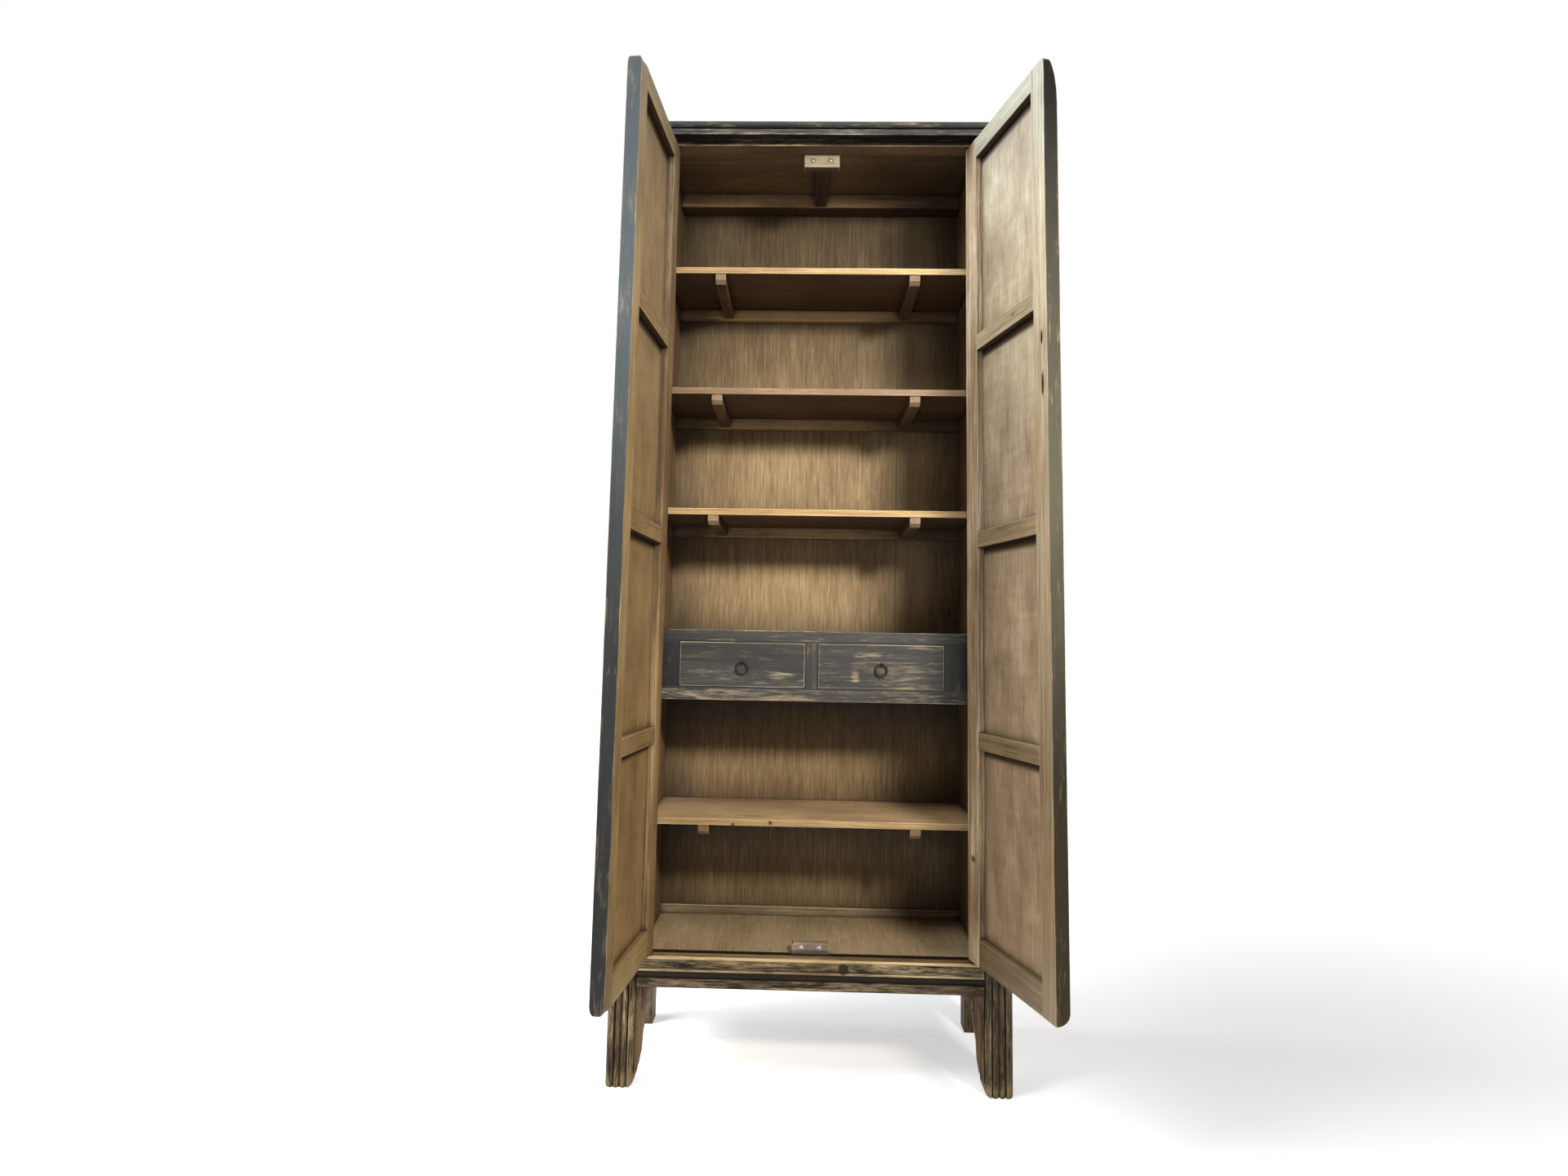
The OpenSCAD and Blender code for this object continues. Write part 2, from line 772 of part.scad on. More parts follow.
module drawer_sides(side) {
    color("#7b664a") at_drawer(side) difference() {
        for (x = [-drawer_w / 2, drawer_w / 2 - drawer_side_t])
            translate([x, shelf_setback + drawer_front_t, drawer_z])
                cube([drawer_side_t, drawer_side_l, drawer_side_h]);
        drawer_bottom_space(0.2);
    }
}

module drawer_back(side) {
    back_y = shelf_setback + drawer_front_t + drawer_side_l - drawer_side_t;
    color("#776247") at_drawer(side) difference() {
        translate([drawer_side_t - drawer_w / 2, back_y, drawer_z])
            cube([drawer_w - 2 * drawer_side_t, drawer_side_t, drawer_side_h]);
        drawer_bottom_space(0.2);
    }
}

module drawer_bottom(side) {
    color("#7f6a4c") at_drawer(side) drawer_bottom_space(0);
}

module ring(r, wire_r) {
    rotate_extrude() translate([r, 0]) circle(wire_r);
}

// Eye with a collar on the drawer's face and a shank through its front
module ring_eye(side) {
    shank_r = 1.6;
    collar_r = 3;
    color("#2f2c29") at_drawer(side) {
        translate([0, eye_y, eye_z]) rotate([0, 90, 0]) ring(eye_r, eye_wire_r);
        translate([0, eye_y + eye_r, eye_z]) rotate([-90, 0, 0]) {
            cylinder(r = collar_r, h = shelf_setback - eye_y - eye_r);
            cylinder(r = shank_r, h = drawer_front_t + 4);
        }
    }
}

module ring_pull(side) {
    color("#2b2927") at_drawer(side)
        translate([0, eye_y, eye_z - ring_r]) rotate([90, 0, 0]) ring(ring_r, ring_wire_r);
}

// Turns a closed right door about its leaning pivot line
module swung(side) {
    open = side == "right" ? right_open : left_open;
    base_x = edge_x(0, pivot_inset);
    right_or_left(side) translate([base_x, pivot_y, 0]) rotate([0, -lean, 0]) rotate([0, 0, open])
        rotate([0, lean, 0]) translate([-base_x, -pivot_y, 0]) children();
}

// Outline of panel k from below, or of its groove, of a closed right door
module door_panel_space(k, gap) {
    reach = tongue - fit + gap;
    z0 = door_panel_bottom + k * panel_pitch - reach;
    z1 = door_panel_bottom + k * panel_pitch + door_panel_h + reach;
    left = meeting_gap / 2 + free_stile_w - reach;
    translate([0, door_panel_set + door_panel_t + gap / 2, 0]) rotate([90, 0, 0])
        linear_extrude(door_panel_t + gap) polygon([
            [left, z0],
            [edge_x(z0, stile_inset - reach), z0],
            [edge_x(z1, stile_inset - reach), z1],
            [left, z1]
        ]);
}

module door_grooves() {
    for (k = [0 : panels_per_door - 1]) door_panel_space(k, fit);
}

module door_hinge_stile(side) {
    color("#8b7455") placed() swung(side) {
        difference() {
            union() {
                intersection() {
                    leaning() translate([-pivot_inset, pivot_y, 0])
                        cylinder(r = door_t / 2, h = total_h);
                    slab(door_bottom, door_top);
                }
                side_box(pivot_inset, hinge_stile_w, 0, door_t, door_bottom, door_top);
                intersection() {
                    leaning() translate([-pivot_inset, pivot_y, 0])
                        cylinder(r = pivot_r, h = total_h);
                    slab(sill_top - pivot_reach, head_bottom + pivot_reach);
                }
            }
            door_grooves();
        }
    }
}

module door_free_stile(side) {
    corner = 8;
    left = meeting_gap / 2;
    slot_w = 3.5;
    slot_x = left + 17;
    color("#8b7455") placed() swung(side) difference() {
        translate([left, 0, door_bottom]) cube([free_stile_w, door_t, door_top - door_bottom]);
        door_grooves();
        translate([left, -1, door_top - corner]) difference() {
            translate([-1, 0, 0]) cube([corner + 1, door_t + 2, corner + 1]);
            translate([corner, 0, 0]) rotate([-90, 0, 0]) cylinder(r = corner, h = door_t + 2);
        }
        if (side == "right") for (slot = [[1512, 24], [1418, 34]])
            translate([slot_x, -1, slot[0]]) cube([slot_w, door_t + 2, slot[1]]);
    }
}

module door_rail(z0, z1) {
    left = meeting_gap / 2 + free_stile_w;
    translate([0, door_t, 0]) rotate([90, 0, 0]) linear_extrude(door_t) polygon([
        [left, z0],
        [edge_x(z0, stile_inset), z0],
        [edge_x(z1, stile_inset), z1],
        [left, z1]
    ]);
}

module door_rails(side) {
    color("#8b7455") placed() swung(side) difference() {
        union() {
            door_rail(door_bottom, door_panel_bottom);
            door_rail(door_top - door_top_rail_h, door_top);
            for (k = [1 : panels_per_door - 1])
                door_rail(door_panel_bottom + k * panel_pitch - door_mid_rail_h,
                    door_panel_bottom + k * panel_pitch);
        }
        door_grooves();
    }
}

module door_panels(side) {
    color("#8f7857") placed() swung(side)
        for (k = [0 : panels_per_door - 1]) door_panel_space(k, 0);
}

front_post("left");  // front_post_left
front_post("right");  // front_post_right
back_post("left");  // back_post_left
back_post("right");  // back_post_right
head_rail();
sill();
front_apron();
leg_brackets();
side_aprons();
side_rails("left");  // side_rails_left
side_rails("right");  // side_rails_right
side_panel("left");  // side_panel_left
side_panel("right");  // side_panel_right
back_rails();
back_panel();
floor_board();
inner_wall("left");  // inner_wall_left
inner_wall("right");  // inner_wall_right
cap_front();
cap_side("left");  // cap_left
cap_side("right");  // cap_right
cap_back();
top_panel();
ceiling_batten();
ceiling_back_rail();
upper_catch_block();
lower_catch_block();
catches();
shelf(1);  // shelf_1
shelf(2);  // shelf_2
shelf(3);  // shelf_3
shelf(4);  // shelf_4
shelf_battens();
back_cleats();
case_rails();
case_stiles();
case_top_board();
case_bottom_board();
drawer_guides();
drawer_front("left");  // drawer_front_left
drawer_front("right");  // drawer_front_right
drawer_sides("left");  // drawer_sides_left
drawer_sides("right");  // drawer_sides_right
drawer_back("left");  // drawer_back_left
drawer_back("right");  // drawer_back_right
drawer_bottom("left");  // drawer_bottom_left
drawer_bottom("right");  // drawer_bottom_right
ring_eye("left");  // ring_eye_left
ring_eye("right");  // ring_eye_right
ring_pull("left");  // ring_pull_left
ring_pull("right");  // ring_pull_right
door_hinge_stile("left");  // door_hinge_stile_left
door_hinge_stile("right");  // door_hinge_stile_right
door_free_stile("left");  // door_free_stile_left
door_free_stile("right");  // door_free_stile_right
door_rails("left");  // door_rails_left
door_rails("right");  // door_rails_right
door_panels("left");  // door_panels_left
door_panels("right");  // door_panels_right
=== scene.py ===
import json
import math

import bmesh
import bpy
from mathutils import Matrix, Vector


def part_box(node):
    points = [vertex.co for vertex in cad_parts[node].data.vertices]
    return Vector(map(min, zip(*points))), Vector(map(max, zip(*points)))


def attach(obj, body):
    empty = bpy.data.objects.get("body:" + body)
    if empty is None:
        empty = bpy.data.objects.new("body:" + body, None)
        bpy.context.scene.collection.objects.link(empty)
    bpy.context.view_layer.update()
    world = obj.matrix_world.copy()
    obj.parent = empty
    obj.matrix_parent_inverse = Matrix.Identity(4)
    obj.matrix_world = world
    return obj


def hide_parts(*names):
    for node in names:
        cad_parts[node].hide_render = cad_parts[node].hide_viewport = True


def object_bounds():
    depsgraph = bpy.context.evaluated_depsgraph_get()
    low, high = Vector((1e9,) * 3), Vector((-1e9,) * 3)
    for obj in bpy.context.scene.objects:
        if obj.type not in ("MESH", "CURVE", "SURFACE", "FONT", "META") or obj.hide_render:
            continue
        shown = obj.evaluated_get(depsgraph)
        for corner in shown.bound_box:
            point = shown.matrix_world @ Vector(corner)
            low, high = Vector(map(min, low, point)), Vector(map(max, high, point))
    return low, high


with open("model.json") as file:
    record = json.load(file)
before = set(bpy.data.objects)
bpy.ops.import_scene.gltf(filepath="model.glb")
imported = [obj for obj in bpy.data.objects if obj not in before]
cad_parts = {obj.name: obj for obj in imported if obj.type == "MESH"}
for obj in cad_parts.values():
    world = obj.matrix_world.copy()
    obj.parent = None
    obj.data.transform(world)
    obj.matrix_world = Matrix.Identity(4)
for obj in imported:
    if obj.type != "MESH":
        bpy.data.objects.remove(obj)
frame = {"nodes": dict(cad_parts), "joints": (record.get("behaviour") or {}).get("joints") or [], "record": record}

nodes = frame["nodes"]
cadLow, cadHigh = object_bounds()
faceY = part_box("front_post_left")[0].y  # the plane of the front posts' faces
seeds = iter(range(1, 400))  # each material shifts its pattern by the next one


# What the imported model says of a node, and how a piece takes its place
def bodyOf(nodeName):
    for body, members in frame["record"]["behaviour"]["bodies"].items():
        if nodeName in members:
            return body


def doorSwing(side):
    return next(joint for joint in frame["joints"] if joint["name"] == "door_" + side + "_swing")


def addObject(name, data):
    thing = bpy.data.objects.new(name, data)
    bpy.context.scene.collection.objects.link(thing)
    return thing


def standFor(piece, nodeName):
    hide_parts(nodeName)
    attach(piece, bodyOf(nodeName))


# Linear colour of a hex code such as 8e7350
def tone(code):
    parts = [int(code[k:k + 2], 16) / 255 for k in (0, 2, 4)]
    return [p / 12.92 if p <= 0.04045 else ((p + 0.055) / 1.055) ** 2.4 for p in parts] + [1.0]


# Small helpers for nodes
def placeNode(tree, kind, inputs=None, **settings):
    node = tree.nodes.new(kind)
    for key, value in settings.items():
        setattr(node, key, value)
    for key, value in (inputs or {}).items():
        if isinstance(value, bpy.types.NodeSocket):
            tree.links.new(value, node.inputs[key])
        else:
            node.inputs[key].default_value = value
    return node


def addNode(tree, kind, inputs=None, **settings):
    return placeNode(tree, "ShaderNode" + kind, inputs, **settings)


def calc(tree, operation, first, second=0.0, third=0.0, clamp=False):
    inputs = {0: first, 1: second, 2: third}
    return addNode(tree, "Math", inputs, operation=operation, use_clamp=clamp).outputs[0]


# A value that a pattern pushes up and down: the pattern's middle, 0.5, leaves it as it is
def swayed(tree, value, pattern, amount, clamp=False):
    swing = calc(tree, "SUBTRACT", pattern, 0.5)
    return calc(tree, "MULTIPLY_ADD", swing, amount, value, clamp)


def evenRange(tree, value, low, high, curve="LINEAR"):
    inputs = {"Value": value, "From Min": low, "From Max": high}
    return addNode(tree, "MapRange", inputs, interpolation_type=curve).outputs["Result"]


def smoothRange(tree, value, low, high):
    return evenRange(tree, value, low, high, "SMOOTHSTEP")


# 1 between two values, fading to 0 over a soft width outside them
def between(tree, value, low, high, soft):
    rise = smoothRange(tree, value, low - soft, low)
    fall = smoothRange(tree, value, high + soft, high)
    return calc(tree, "MULTIPLY", rise, fall)


def blendColours(tree, factor, first, second, way="MIX"):
    inputs = {0: factor, 6: first, 7: second}  # a Mix node takes its two colours at 6 and 7
    return addNode(tree, "Mix", inputs, data_type="RGBA", blend_type=way).outputs[2]


def colourRamp(tree, factor, stops):
    node = addNode(tree, "ValToRGB", {"Fac": factor})
    ramp = node.color_ramp
    while len(ramp.elements) < len(stops):
        ramp.elements.new(0.5)
    for element, (place, colour) in zip(ramp.elements, stops):
        element.position = place
        element.color = colour
    return node.outputs["Color"]


def noiseAt(tree, place, scale, detail=4.0, roughness=0.55, distortion=0.0):
    node = addNode(tree, "TexNoise", {
        "Vector": place, "Scale": scale, "Detail": detail, "Roughness": roughness, "Distortion": distortion})
    return node.outputs["Fac"]


def objectPlace(tree):
    return addNode(tree, "TexCoord").outputs["Object"]


def coordinate(tree, axis):
    return addNode(tree, "SeparateXYZ", {0: objectPlace(tree)}).outputs[axis]


def grainPlace(tree, turn, shift):
    inputs = {"Vector": objectPlace(tree), "Rotation": turn, "Location": shift}
    return addNode(tree, "Mapping", inputs).outputs["Vector"]


# Noise drawn out along the grain: few changes a metre along it, many across it
def drawnOut(tree, place, along, across, detail, roughness, distortion=0.0):
    inputs = {"Vector": place, "Scale": (along, across, across)}
    grain = addNode(tree, "Mapping", inputs).outputs["Vector"]
    return noiseAt(tree, grain, 1.0, detail, roughness, distortion)


# 1 inside an ellipsoid of half sizes, with a ragged border
def spotAt(tree, centre, size, ragged):
    away = addNode(tree, "VectorMath", {0: objectPlace(tree), 1: centre}, operation="SUBTRACT").outputs[0]
    share = addNode(tree, "VectorMath", {0: away, 1: size}, operation="DIVIDE").outputs[0]
    reach = addNode(tree, "VectorMath", {0: share}, operation="LENGTH").outputs["Value"]
    return smoothRange(tree, swayed(tree, reach, ragged, -2.4), 1.4, 0.4)


# Painted light and shade: multiplies a colour by the colours listed at heights above the floor
def paintLightByHeight(tree, colour, rows):
    low, high = rows[0][0], rows[-1][0]
    share = evenRange(tree, coordinate(tree, "Z"), low, high)
    paintedLight = colourRamp(tree, share, [((z - low) / (high - low), list(rgb) + [1.0]) for z, rgb in rows])
    return blendColours(tree, 1.0, colour, paintedLight, "MULTIPLY")


# 1 on a rubbed edge and fading beside it, 0 on a flat face
def edgeMask(tree, radius):
    rounded = addNode(tree, "Bevel", {"Radius": radius}, samples=6).outputs["Normal"]
    flat = addNode(tree, "NewGeometry").outputs["Normal"]
    turned = addNode(tree, "VectorMath", {0: rounded, 1: flat}, operation="DOT_PRODUCT").outputs["Value"]
    near = calc(tree, "MULTIPLY", calc(tree, "SUBTRACT", 1.0, turned), 4.0, clamp=True)
    marked = addNode(tree, "Attribute", attribute_name="rubbed").outputs["Fac"]
    return calc(tree, "MAXIMUM", near, marked)


# Painted shade with some soiling: darkens a colour where other surfaces stand close, as in corners and joints
def shadeAndSoilInCorners(tree, colour, reach, strength):
    airy = addNode(tree, "AmbientOcclusion", {"Distance": reach}, samples=6).outputs["AO"]
    closed = calc(tree, "SUBTRACT", 1.0, smoothRange(tree, airy, 0.25, 0.95))
    return blendColours(tree, calc(tree, "MULTIPLY", closed, strength), colour, tone("140d08"))


def newMaterial(name):
    material = bpy.data.materials.new(name)
    material.use_nodes = True
    return material, material.node_tree, material.node_tree.nodes["Principled BSDF"]


# What every finish ends in: its colour, roughness, gloss and relief
def finishShader(tree, shader, colour, rough, gloss, height, strength, depth=0.0008):
    tree.links.new(colour, shader.inputs["Base Color"])
    tree.links.new(rough, shader.inputs["Roughness"])
    shader.inputs["Specular IOR Level"].default_value = gloss
    relief = addNode(tree, "Bump", {"Height": height, "Strength": strength, "Distance": depth})
    tree.links.new(relief.outputs["Normal"], shader.inputs["Normal"])


# Turns that bring a piece's grain onto the x axis of its pattern
alongX = (0.0, 0.0, 0.0)
alongY = (0.0, 0.0, -math.pi / 2)
alongZ = (0.0, math.pi / 2, 0.0)


# The width of a door that stands open, as a turn about the upright
def doorGrain(side):
    opened = math.radians(-doorSwing(side)["range_deg"][0])
    return (0.0, 0.0, -opened if side == "right" else opened)


# The last board of the back panel starts at a seam and is a little darker beyond it; the panel's left side is
# darker as a painted shadow, and the wood beside the seam, higher up, is paler as painted light
lastBoard = {"seam": 0.203, "line": 0.001, "lineShade": 0.5, "shade": 0.02, "shadeLeft": 0.2,
             "left": (-0.16, -0.34), "pale": 0.2, "paintedLightWidth": (0.003, 0.075), "paintedLightAbove": (0.98, 1.08)}

# Bare wood, stained and aged. dark, mid and light are its colours. streak is how strongly it is streaked,
# with so many changes a metre along (run) and across (fine) the grain. blotch and mottle are wide and small
# clouds, brushed is brush marks across the grain. edge is how far rubbed edges lighten, reach and
# cornerShadeAndSoil how widely and strongly corners darken with painted shade and some soiling, gloss and
# rough the surface, paintedLight the painted light and shade that the colour is multiplied by at heights above
# the floor, boards a panel's last board with its seam, painted light and painted shadow. woodUsual is what a
# look doesn't say itself.
woodUsual = {"run": 4.0, "fine": 230.0, "blotch": 0.9, "mottle": 0.0, "brushed": 0.0, "reach": 0.018,
             "cornerShadeAndSoil": 0.8, "gloss": 0.3, "rough": 0.72, "paintedLight": (), "boards": None}
woods = {
    # painted shade in bands under the shelves and painted light on the bays, by height; the wide reach paints
    # shade near the shelves and walls
    "back": {"dark": "4f3e28", "mid": "8a7351", "light": "b8a37c", "streak": 0.5, "run": 9.0, "fine": 170.0,
             "blotch": 0.3, "mottle": 0.3, "edge": 0.1, "reach": 0.11, "boards": lastBoard, "paintedLight": [
                 (0.28, (0.68, 0.66, 0.64)), (0.43, (0.7, 0.68, 0.66)), (0.5, (0.32, 0.3, 0.27)),
                 (0.55, (0.18, 0.16, 0.14)), (0.56, (0.86, 0.85, 0.85)), (0.66, (0.84, 0.83, 0.83)),
                 (0.75, (0.34, 0.31, 0.27)), (0.8, (0.15, 0.12, 0.1)), (0.97, (0.8, 0.8, 0.8)),
                 (1.05, (0.85, 0.85, 0.85)), (1.3, (0.85, 0.85, 0.87)), (1.42, (0.86, 0.86, 0.87)),
                 (1.62, (0.66, 0.66, 0.67)), (1.8, (0.54, 0.54, 0.54)), (2.05, (0.48, 0.48, 0.48))]},
    "backOutside": {"dark": "3e3122", "mid": "6b5a42", "light": "93805f", "streak": 0.5, "run": 9.0,
                    "fine": 170.0, "blotch": 0.5, "mottle": 0.3, "edge": 0.3},
    # The door looks' colours by height are painted light and shade, cooler towards the top
    "doorRight": {"dark": "6b5339", "mid": "a98f6c", "light": "d8c3a2", "streak": 0.65, "blotch": 0.7,
                  "edge": 0.5, "gloss": 0.4, "rough": 0.55, "paintedLight": [
                      (0.3, (0.35, 0.31, 0.26)), (0.9, (0.46, 0.44, 0.41)), (1.3, (0.63, 0.64, 0.63)),
                      (1.7, (0.76, 0.84, 0.92)), (2.06, (0.54, 0.7, 0.95))]},
    # painted light: the right hinge stile is a lighter copy of the door's wood
    "hingeRight": {"dark": "5a422d", "mid": "9d8467", "light": "e8d6b8", "streak": 0.9, "edge": 0.5,
                   "gloss": 0.4, "rough": 0.55, "reach": 0.01, "paintedLight": [
                       (0.3, (0.86, 0.79, 0.7)), (1.3, (1.0, 1.0, 1.0)), (2.06, (0.92, 0.95, 1.0))]},
    "panelRight": {"dark": "6c563f", "mid": "a88f74", "light": "d4c2a6", "streak": 0.26, "run": 7.0,
                   "fine": 110.0, "mottle": 0.7, "edge": 0.2, "gloss": 0.4, "rough": 0.55,
                   "brushed": 0.2, "reach": 0.03, "paintedLight": [
                       (0.3, (0.57, 0.51, 0.43)), (0.9, (0.7, 0.67, 0.61)), (1.3, (0.69, 0.7, 0.68)),
                       (1.68, (0.73, 0.78, 0.77)), (2.02, (0.67, 0.77, 0.84))]},
    # painted shade: the left hinge stile is a darker copy of the door's wood
    "hingeLeft": {"dark": "4a3724", "mid": "775f43", "light": "b39b78", "streak": 0.9, "edge": 0.5, "paintedLight": [
        (0.3, (0.9, 0.84, 0.66)), (0.7, (0.8, 0.76, 0.62)), (1.35, (0.56, 0.54, 0.48)),
        (2.05, (0.6, 0.65, 0.71))]},
    "doorLeft": {"dark": "59432c", "mid": "8b7353", "light": "b39b78", "streak": 0.6, "edge": 0.5, "paintedLight": [
        (0.3, (0.92, 0.89, 0.68)), (0.7, (0.84, 0.82, 0.64)), (1.0, (0.77, 0.76, 0.64)),
        (1.35, (0.76, 0.77, 0.69)), (1.75, (0.9, 0.95, 0.98)), (2.05, (0.84, 0.92, 1.0))]},
    "panelLeft": {"dark": "5c472e", "mid": "8c7454", "light": "ab9471", "streak": 0.3, "run": 7.0,
                  "fine": 120.0, "blotch": 0.8, "mottle": 0.5, "edge": 0.2, "brushed": 0.2, "reach": 0.03,
                  "paintedLight": [
                      (0.3, (0.97, 0.88, 0.66)), (0.62, (0.85, 0.8, 0.62)), (1.0, (0.73, 0.71, 0.59)),
                      (1.35, (0.67, 0.67, 0.6)), (1.75, (0.88, 0.93, 0.99)), (2.05, (0.84, 0.9, 1.0))]},
    # a darker copy for the door rails' undersides, as painted shade
    "railUnderShade": {"dark": "22170d", "mid": "45301d", "light": "644a30", "streak": 0.6, "edge": 0.1},
    "shelf": {"dark": "664f36", "mid": "9c8160", "light": "bda27d", "streak": 0.5, "edge": 0.7},
    "shelfEdge": {"dark": "6c5030", "mid": "967a53", "light": "cdb184", "streak": 0.6, "edge": 0.6,
                  "cornerShadeAndSoil": 0.2},
    "shelfDull": {"dark": "5d442b", "mid": "78604a", "light": "9c8466", "streak": 0.5, "edge": 0.5,
                  "cornerShadeAndSoil": 0.2},
    # a darker copy for the shelves' undersides, as painted shade
    "shelfUnderShade": {"dark": "22170d", "mid": "45301f", "light": "654a30", "streak": 0.5, "edge": 0.2},
    # batten is the darker copy for the battens' sides, as painted shade; battenDull goes on the lowest front ends
    "batten": {"dark": "2f2116", "mid": "4e3a27", "light": "735b3f", "streak": 0.5, "edge": 0.7},
    "battenDull": {"dark": "4a3826", "mid": "6f5a40", "light": "8b7355", "streak": 0.5, "edge": 0.6},
    "inner": {"dark": "2e2116", "mid": "5a452f", "light": "7d6647", "streak": 0.6, "edge": 0.3},
    # painted light: the top cleat is lighter, by height
    "cleat": {"dark": "654e35", "mid": "ba9a6e", "light": "cfb186", "streak": 0.6, "edge": 0.6, "paintedLight": [
        (0.3, (0.74, 0.74, 0.74)), (1.6, (0.74, 0.74, 0.74)), (1.75, (1.0, 1.0, 1.0))]},
    "battenEnd": {"dark": "4f402e", "mid": "736048", "light": "988265", "streak": 0.5, "edge": 0.6},
    "floorCleat": {"dark": "4f4231", "mid": "7a6a53", "light": "b09c7a", "streak": 0.7, "edge": 0.9},
    "ceiling": {"dark": "20170f", "mid": "3f2f1f", "light": "584530", "streak": 0.6, "edge": 0.4},
    "ceilingRail": {"dark": "533f2b", "mid": "977a58", "light": "ae9069", "streak": 0.6, "edge": 0.5},
    # a darker copy for the ceiling rail's underside, as painted shade
    "ceilingUnderShade": {"dark": "2c2016", "mid": "4c3927", "light": "664e36", "streak": 0.6, "edge": 0.2},
    "headUnder": {"dark": "31231a", "mid": "5f4936", "light": "7d644b", "streak": 0.6, "edge": 0.5},
    "block": {"dark": "7b6a50", "mid": "a89678", "light": "d6c8ac", "streak": 0.5, "edge": 0.8, "cornerShadeAndSoil": 0.3},
    # a darker copy for the upper block's underside, as painted shade
    "blockUnderShade": {"dark": "2a2018", "mid": "4a3d30", "light": "6a5a48", "streak": 0.5, "edge": 0.3},
    "lowBlock": {"dark": "4a3f32", "mid": "766a58", "light": "c0b09a", "streak": 0.5, "edge": 1.0},
    "floor": {"dark": "6f5a44", "mid": "9c8767", "light": "bda683", "streak": 0.4, "run": 9.0, "edge": 0.5,
              "brushed": 0.15, "blotch": 0.5, "mottle": 0.3},
}


# The streaked colour of wood, with the pattern that it comes from and the streaks alone
def woodColour(tree, place, look):
    wide = drawnOut(tree, place, 1.5, 12.0, 3.0, 0.5)
    streaks = drawnOut(tree, place, look["run"], look["fine"], 4.0, 0.6, 0.2)
    value = swayed(tree, 0.5, streaks, 1.5 * look["streak"])
    value = swayed(tree, value, wide, 0.9 * look["streak"])
    value = swayed(tree, value, noiseAt(tree, place, 3.5), look["blotch"])
    if look["mottle"]:
        value = swayed(tree, value, drawnOut(tree, place, 9.0, 20.0, 5.0, 0.65, 0.5), look["mottle"])
    if look["brushed"]:
        value = swayed(tree, value, drawnOut(tree, place, 90.0, 9.0, 3.0, 0.55), look["brushed"])
    pores = drawnOut(tree, place, 28.0, 620.0, 3.0, 0.6)
    value = swayed(tree, value, pores, 0.6, clamp=True)
    stops = [(0.12, tone(look["dark"])), (0.5, tone(look["mid"])), (0.88, tone(look["light"]))]
    return colourRamp(tree, value, stops), value, streaks


# A dark line where the last board meets its neighbour, slightly darker wood beyond it, a painted shadow towards
# the left side, and paler wood beside the seam higher up as painted light
def seamWithPaintedLightAndShade(tree, colour, board):
    across, seam, half = coordinate(tree, "X"), board["seam"], board["line"] / 2
    beyond = calc(tree, "MULTIPLY", smoothRange(tree, across, seam - 0.003, seam + 0.003), board["shade"])
    # painted shadow: the panel's left side is darker
    beyond = calc(tree, "MULTIPLY_ADD", smoothRange(tree, across, *board["left"]), board["shadeLeft"], beyond)
    line = calc(tree, "MULTIPLY", between(tree, across, seam - half, seam + half, 0.0015), board["lineShade"])
    # painted light: paler wood beside the seam, higher up
    high = smoothRange(tree, coordinate(tree, "Z"), *board["paintedLightAbove"])
    start, end = board["paintedLightWidth"]
    beside = between(tree, across, seam + start, seam + end, 0.03)
    pale = calc(tree, "MULTIPLY", beside, calc(tree, "MULTIPLY", high, board["pale"]))
    colour = blendColours(tree, pale, colour, tone("d8c49c"))
    return blendColours(tree, calc(tree, "MAXIMUM", beyond, line), colour, tone("2c2016"))


# Painted shadow under a rail, in a wavy band about a height
underRail = {"below": 0.006, "above": 0.004, "soft": 0.016, "wave": 0.006, "strength": 0.85, "paintedShadow": "2b1c10"}


def shadowUnderRail(tree, colour, level, value):
    wavy = swayed(tree, coordinate(tree, "Z"), value, underRail["wave"])
    band = between(tree, wavy, level - underRail["below"], level + underRail["above"], underRail["soft"])
    paintedShadow = calc(tree, "MULTIPLY", band, underRail["strength"])
    return blendColours(tree, paintedShadow, colour, tone(underRail["paintedShadow"]))


# marks are dark streaks or knots, and on some pieces painted shade: where, half sizes, strength. shadows are
# heights with painted shadow below
def bareWood(name, lookName, turn, marks=(), shadows=()):
    seed = next(seeds)
    look = {**woodUsual, **woods[lookName]}
    material, tree, shader = newMaterial(name)
    place = grainPlace(tree, turn, (seed * 1.37, seed * 0.71, seed * 2.13))
    colour, value, streaks = woodColour(tree, place, look)
    worn = calc(tree, "MULTIPLY_ADD", streaks, 0.7, edgeMask(tree, 0.004))
    worn = calc(tree, "MULTIPLY", smoothRange(tree, worn, 0.55, 1.25), look["edge"])
    colour = blendColours(tree, worn, colour, tone(look["light"]))
    # painted light and shade by height
    if look["paintedLight"]:
        colour = paintLightByHeight(tree, colour, look["paintedLight"])
    if look["boards"]:
        colour = seamWithPaintedLightAndShade(tree, colour, look["boards"])
    # painted shadow below each rail
    for level in shadows:
        colour = shadowUnderRail(tree, colour, level, value)
    # dark streaks and knots, and on some pieces painted shade
    for centre, size, strength in marks:
        spot = calc(tree, "MULTIPLY", spotAt(tree, centre, size, streaks), strength)
        colour = blendColours(tree, spot, colour, tone("20150c"))
    # painted shade, with some soiling, where other surfaces stand close
    colour = shadeAndSoilInCorners(tree, colour, look["reach"], look["cornerShadeAndSoil"])
    rough = calc(tree, "MULTIPLY_ADD", value, -0.15, look["rough"])
    finishShader(tree, shader, colour, rough, look["gloss"], value, 0.35)
    return material


# Heights and edges of the frame that the paint's wear follows
sillLow, sillHigh = (corner.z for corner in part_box("sill"))
bandTop = sillLow - 0.015  # the apron's worn band starts under its cove
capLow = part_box("cap_front")[0].z
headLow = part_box("head_rail")[0].z
